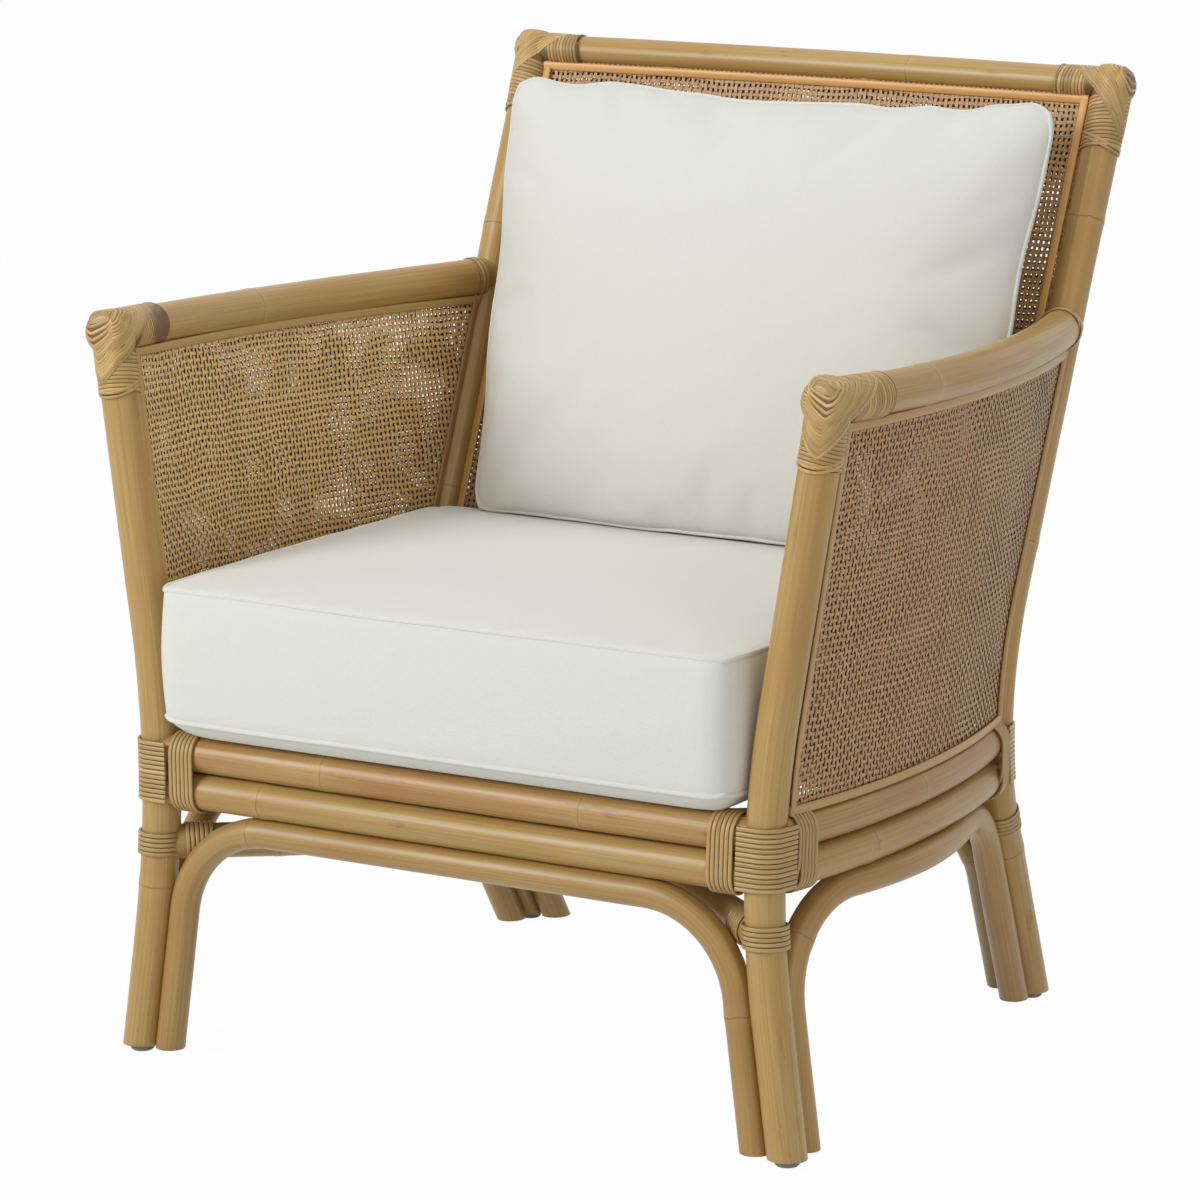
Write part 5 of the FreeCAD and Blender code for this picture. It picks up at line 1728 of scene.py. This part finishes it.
@dataclass
class SeatCushion:
    """The box cushion on the deck, welted along its upper and lower edges."""

    lines: ChairLines
    tree: ShapeTree
    cloth: ClothRun
    half_width: float = 284.3
    front: float = -4.0
    back_low: float = 428.0
    back_high: float = 446.0
    piping_low: float = 309.0
    piping_high: float = 426.0
    spread: float = 0.155
    deck: float = 290.9
    deck_start: float = 36.0
    lift: float = 0.3
    pinned_under: float = 2.3
    crown: float = 12.0
    front_bulge: float = 4.8
    side_bulge: float = 3.0
    corner: float = 24.0
    flat_inset: float = 26.0
    seam_ripple: tuple = (1.3, 9.0, 4.0)
    top_ripple: tuple = (1.6, 12.0, 1.0)
    across: int = 64
    deep: int = 44
    high: int = 10

    def plan(self, a: float, b: float, back: float) -> tuple[float, float]:
        """Place on the cushion's rounded outline.

        Args:
            a: From -1 at the left to 1 at the right.
            b: From -1 at the front to 1 at the back.
            back: Depth of the back edge, in millimetres.

        Returns:
            Distance across and depth, in millimetres.
        """
        x, y = rounded_place(a, b, self.half_width, (back - self.front) / 2, self.corner)
        return x, (back + self.front) / 2 + y

    def support(self, x: float, y: float) -> float:
        """Height of the front rail, the deck's poles or the sag between them at a place."""
        c = self.lines
        radius, half_deck = c.slat_size / 2, c.slat_count / 2 * c.slat_pitch
        off_slat = abs((x / c.slat_pitch + 0.5) % 1.0 - 0.5) * c.slat_pitch
        if y > self.deck_start and off_slat < radius and abs(x) < half_deck:
            return c.deck_top - radius + math.sqrt(radius ** 2 - off_slat ** 2) + self.lift
        return self.deck

    def top_point(self, a: float, b: float) -> Vector:
        """Point of the upper cover before it is filled out."""
        x, y = self.plan(a, b, self.back_high)
        rise = self.crown * (1 - abs(a) ** 2.6) * (1 - abs(b) ** 2.6)
        return place(x, y, self.piping_high + rise)

    def low_point(self, a: float, b: float) -> Vector:
        """Point of the lower cover, flat on the deck but for its edge."""
        x, y = self.plan(a, b, self.back_low)
        half_depth = (self.back_low - self.front) / 2
        inside = min((1 - abs(a)) * self.half_width, (1 - abs(b)) * half_depth)
        share = min(1.0, inside / self.flat_inset)
        drop = (self.piping_low - self.deck) * math.sin(share * math.pi / 2)
        return place(x, y, max(self.piping_low - drop, self.support(x, y)))

    def boxing(self, a: float, b: float, share: float) -> Vector:
        """Point of the side strip at a share of its height."""
        point = self.low_point(a, b).lerp(self.top_point(a, b), share)
        outward = Vector((a if abs(a) >= abs(b) else 0.0, b if abs(b) >= abs(a) else 0.0, 0.0))
        bulge = self.front_bulge if b <= -abs(a) else self.side_bulge
        return point + outward.normalized() * (bulge * math.sin(math.pi * share) * MM)

    def grid(self) -> tuple[Path, Faces, dict[str, list[int]]]:
        """The cover's points and faces, and the loops of points along its seams."""
        points: Path = []
        tops, lows = {}, {}

        def shares(i: int, j: int) -> tuple[float, float]:
            """Place on the cushion, from -1 to 1 both ways."""
            return 2 * i / self.across - 1, 2 * j / self.deep - 1

        for table, make in ((tops, self.top_point), (lows, self.low_point)):
            for j in range(self.deep + 1):
                for i in range(self.across + 1):
                    table[i, j] = len(points)
                    points.append(make(*shares(i, j)))
        faces = quilt(tops, lows, self.across, self.deep)
        rim = rim_of(self.across, self.deep)
        rings = [[lows[key] for key in rim]]
        for level in range(1, self.high):
            rings.append(list(range(len(points), len(points) + len(rim))))
            points += [self.boxing(*shares(*key), level / self.high) for key in rim]
        rings.append([tops[key] for key in rim])
        for low, high in zip(rings, rings[1:]):
            for k in range(len(rim)):
                n = (k + 1) % len(rim)
                faces.append((low[k], low[n], high[n], high[k]))
        return points, faces, {"low": rings[0], "top": rings[-1]}

    def kept_in(self, p: Vector) -> Vector:
        """The point, held between the posts and above the deck."""
        limit = self.half_width + max(0.0, p.z / MM - self.piping_low) * self.spread
        x = max(-limit * MM, min(limit * MM, p.x))
        floor = self.support(x / MM, p.y / MM + DEPTH_MIDDLE)
        return Vector((x, p.y, max(p.z, floor * MM)))

    def build(self) -> Path:
        """Make the cover and its two welts.

        Returns:
            The points of the finished upper cover, for what lies on it.
        """
        points, faces, seams = self.grid()
        plane = BackPlane(self.lines)

        def uneven(p: Vector, size: float, scale: float, seed: float) -> Vector:
            """The point, a little higher or lower."""
            return p + Vector((0, 0, size * ripple(p, scale, seed) * MM))

        pins = {index: 1.0 for loop in seams.values() for index in loop}
        for index in pins:
            points[index] = uneven(points[index], *self.seam_ripple)
        points = [uneven(p, *self.top_ripple) if p.z > self.piping_high * MM else p
                  for p in points]
        pins |= {index: 1.0 for index, p in enumerate(points)
                 if p.z <= (self.deck + self.pinned_under) * MM}
        points = self.cloth.fill(points, faces, pins)
        points = [plane.held_off(self.kept_in(p)) for p in points]
        cover = sewn("seat_cushion_cover", points, faces)
        own(cover, "seat_cushion_body", "cushion_cover", "seat_cushion", "seat_foam_core")
        for name, loop in seams.items():
            welt(self.tree, f"seat_welt_{name}", cover, loop, "seat_cushion_body")
        return points


@dataclass
class BackCushion:
    """The loose pillow against the back, welted round its edge."""

    lines: ChairLines
    tree: ShapeTree
    cloth: ClothRun
    half_width: float = 284.0
    seam_low: tuple[float, float] = (405.0, 424.0)
    seam_high: tuple[float, float] = (583.0, 812.0)
    front_bulge: float = 76.0
    back_bulge: float = 62.0
    start_share: float = 0.84
    corner: float = 26.0
    tuck: float = 54.0
    tuck_back: float = 18.0
    gather: float = 2.6
    gather_reach: float = 0.2
    fold: float = 2.2
    low_wave: float = 2.0
    side_wave: float = 2.2
    seat_over: float = 0.42
    seat_near: float = 0.02
    seat_gap: float = 0.6
    across: int = 60
    high: int = 46
    top_waves: tuple = (
        (-1.0, 0.0), (-0.92, 2.6), (-0.76, -3.2), (-0.6, 2.6), (-0.3, -3.4), (-0.09, -7.4),
        (0.3, -3.2), (0.42, -5.6), (0.55, -1.2), (0.66, -3.6), (0.8, 5.2), (0.93, 9.0), (1.0, 4.0))

    def wave(self, a: float) -> float:
        """Rise of the upper edge at a place across, in millimetres."""
        for (low, first), (high, last) in zip(self.top_waves, self.top_waves[1:]):
            if a <= high:
                share = (a - low) / (high - low)
                return first + (last - first) * (1 - math.cos(share * math.pi)) / 2
        return 0.0

    def seam_point(self, a: float, b: float) -> Vector:
        """Point of the seam's plane, with its ears, its waves and its tucked lower left corner."""
        low, high = Vector(self.seam_low), Vector(self.seam_high)
        length = (high - low).length
        x, v = rounded_place(a, b, self.half_width, length / 2, self.corner)
        share = v / length + 0.5
        rise = self.wave(a) * max(0.0, b) ** 5
        rise += self.low_wave * math.sin(a * 7.0) * max(0.0, -b) ** 8
        side = self.side_wave * math.sin(b * 8.0 + 1.0 + a) * abs(a) ** 8 * (1 - b * b)
        tucked = (1 - share) * max(0.0, -a) ** 1.5
        spot = low + (high - low) / length * (share * length + rise)
        return place(x + self.tuck * tucked + side, spot.x + self.tuck_back * tucked, spot.y)

    def swelling(self, a: float, b: float, base: Vector, bulge: float, sign: float) -> float:
        """How far a side of the cover stands out from its seam's plane.

        Args:
            a: From -1 to 1 across.
            b: From -1 to 1 upwards.
            base: The point of the seam's plane.
            bulge: The side's fullness.
            sign: 1 for the front, -1 for the back.

        Returns:
            The distance, in millimetres.
        """
        inner = max(0.0, 1 - abs(a) ** 2.4) * max(0.0, 1 - abs(b) ** 2.2)
        full = inner ** 0.52
        turn = math.atan2(b, a)
        inside = (1 - max(abs(a), abs(b))) / self.gather_reach
        gathers = math.sin(11 * turn + 2 * math.sin(3 * turn)) * inside * math.exp(-inside)
        fold = self.fold * ripple(base, 11.0, 3.0 * sign) * full
        return sign * (bulge * self.start_share * full + fold + self.gather * gathers)

    def grid(self) -> tuple[Path, Faces, list[int]]:
        """The cover's points and faces, and the loop of its seam."""
        low, high = place(0, *self.seam_low), place(0, *self.seam_high)
        up = (high - low).normalized()
        ahead = Vector((0, -up.z, up.y))
        rim = rim_of(self.across, self.high)
        points: Path = []
        sheets: list[dict] = []
        for bulge, sign in ((self.front_bulge, 1.0), (self.back_bulge, -1.0)):
            table = {key: sheets[0][key] for key in rim} if sheets else {}
            for j in range(self.high + 1):
                for i in range(self.across + 1):
                    if (i, j) in table:
                        continue
                    a, b = 2 * i / self.across - 1, 2 * j / self.high - 1
                    base = self.seam_point(a, b)
                    table[i, j] = len(points)
                    away = self.swelling(a, b, base, bulge, sign)
                    points.append(base + ahead * (away * MM))
            sheets.append(table)
        faces = quilt(*sheets, self.across, self.high)
        return points, faces, [sheets[0][key] for key in rim]

    def build(self, seat_points: Path) -> None:
        """Make the cover and its welt.

        Args:
            seat_points: Points of the seat cushion that it stands on.
        """
        points, faces, rim = self.grid()
        seat_top = [p for p in seat_points if p.z > self.seat_over]
        places = KDTree(len(seat_top))
        for index, p in enumerate(seat_top):
            places.insert(Vector((p.x, p.y, 0)), index)
        places.balance()
        plane = BackPlane(self.lines)

        def rested(p: Vector) -> Vector:
            """The point, held above the seat cushion and off the panel."""
            _, index, distance = places.find(Vector((p.x, p.y, 0)))
            if distance < self.seat_near:
                p = Vector((p.x, p.y, max(p.z, seat_top[index].z + self.seat_gap * MM)))
            return plane.held_off(p)

        points = [rested(p) for p in points]
        points = self.cloth.fill(points, faces, {index: 1.0 for index in rim})
        points = [rested(p) for p in points]
        cover = sewn("back_cushion_cover", points, faces)
        own(cover, "back_cushion_body", "cushion_cover", "back_cushion", "back_filling")
        welt(self.tree, "back_cushion_welt", cover, rim, "back_cushion_body")


@dataclass(frozen=True)
class Lamp:
    """A square soft lamp: its place and side in metres, and its power in watts."""

    name: str
    spot: Spot
    side: float
    power: float


@dataclass
class Studio:
    """Camera, lights and floor."""

    target: Spot = (-0.019, -0.033, 0.389)
    azimuth: float = 31.11
    elevation: float = 11.72
    distance: float = 4.723
    lens: float = 160.45
    sensor: float = 36.0
    lit_at: Spot = (0.0, 0.0, 0.4)
    floor_reach: float = 14.0
    floor_white: float = 0.968
    world_strength: float = 0.38
    lamps: tuple[Lamp, ...] = (
        Lamp("key", (-2.0, -3.1, 2.2), 1.6, 82.0),
        Lamp("fill", (2.8, -2.2, 1.6), 2.4, 17.0),
        Lamp("top", (0.2, 0.4, 3.2), 2.2, 24.0),
    )

    def camera(self) -> None:
        """Stand the camera where the photograph was taken from."""
        azimuth, elevation = math.radians(self.azimuth), math.radians(self.elevation)
        level = math.cos(elevation)
        back = Vector((math.sin(azimuth) * level, -math.cos(azimuth) * level,
                       math.sin(elevation)))
        data = bpy.data.cameras.new("camera")
        data.sensor_width, data.lens, data.clip_end = self.sensor, self.lens, 100.0
        camera = linked("camera", data)
        camera.location = Vector(self.target) + back * self.distance
        camera.rotation_euler = (-back).to_track_quat("-Z", "Y").to_euler()
        bpy.context.scene.camera = camera

    def hang(self, lamp: Lamp) -> None:
        """Hang a lamp that faces the chair's middle."""
        data = bpy.data.lights.new(lamp.name, "AREA")
        data.size, data.energy = lamp.side, lamp.power
        piece = linked(lamp.name, data)
        piece.location = lamp.spot
        way = Vector(self.lit_at) - Vector(lamp.spot)
        piece.rotation_euler = way.to_track_quat("-Z", "Y").to_euler()

    def floor(self) -> None:
        """Lay a wide pale floor that the camera sees as white but for the shadow."""
        r = self.floor_reach
        corners = [(-r, -r, 0), (r, -r, 0), (r, r, 0), (-r, r, 0)]
        floor = linked("floor", mesh_of("floor", corners, faces=[(0, 1, 2, 3)]))
        material = bpy.data.materials.new("pale floor")
        material.use_nodes = True
        tree = Tree(material.node_tree)
        mottle = tree.noise(tree.out("ShaderNodeTexCoord", pick="Object"), 3.0, 2.0)
        tint = tree.mix(mottle, (0.80, 0.80, 0.80, 1.0), (0.84, 0.84, 0.84, 1.0))
        plain = tree.out("ShaderNodeBsdfDiffuse", Color=tint)
        white = tree.out("ShaderNodeEmission", Color=WHITE, Strength=1.0)
        rays = tree.add("ShaderNodeLightPath").outputs
        seen = tree.math("MAXIMUM", *(Value(tree, rays[f"Is {kind} Ray"])
                                      for kind in ("Camera", "Glossy")))
        both = tree.out("ShaderNodeMixShader", seen * self.floor_white, plain, white)
        tree.add("ShaderNodeOutputMaterial", both)
        floor.data.materials.append(material)

    def world(self) -> None:
        """Light from all round, and a white backdrop for the camera."""
        world = bpy.data.worlds.new("studio")
        bpy.context.scene.world = world
        world.use_nodes = True
        tree = Tree(world.node_tree)
        soft = tree.out("ShaderNodeBackground", Color=WHITE, Strength=self.world_strength)
        white = tree.out("ShaderNodeBackground", Color=WHITE, Strength=1.0)
        rays = tree.add("ShaderNodeLightPath").outputs
        camera, glossy, through = (Value(tree, rays[f"Is {kind} Ray"])
                                   for kind in ("Camera", "Glossy", "Transmission"))
        seen = tree.math("MAXIMUM", camera, tree.math("MAXIMUM", glossy, through))
        tree.add("ShaderNodeOutputWorld", tree.out("ShaderNodeMixShader", seen, soft, white))

    def build(self) -> None:
        """Set up the whole studio."""
        self.camera()
        self.floor()
        self.world()
        for lamp in self.lamps:
            self.hang(lamp)
        bpy.context.scene.view_settings.view_transform = "Standard"


def main() -> None:
    """Build the armchair's looks, piece by piece."""
    logging.basicConfig(level=logging.INFO, format="%(name)s: %(message)s")
    lines = ChairLines()
    strand = strand_tree()
    PoleFrame(lines, pole_tree()).build()
    Bindings(lines, strand).build()
    CornerWeave(lines, strand).build()
    CanePanels(lines, cane_tree(), strand).build()
    seat_points = SeatCushion(lines, strand, ClothRun()).build()
    BackCushion(lines, strand, ClothRun(cap=26.0, growth=0.01)).build(seat_points)
    for end in ("front", "back"):
        for side in ("right", "left"):
            GlideFinish().paint(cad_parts[f"glide_{end}_{side}"])
    Studio().build()


if __name__ == "__main__":
    main()
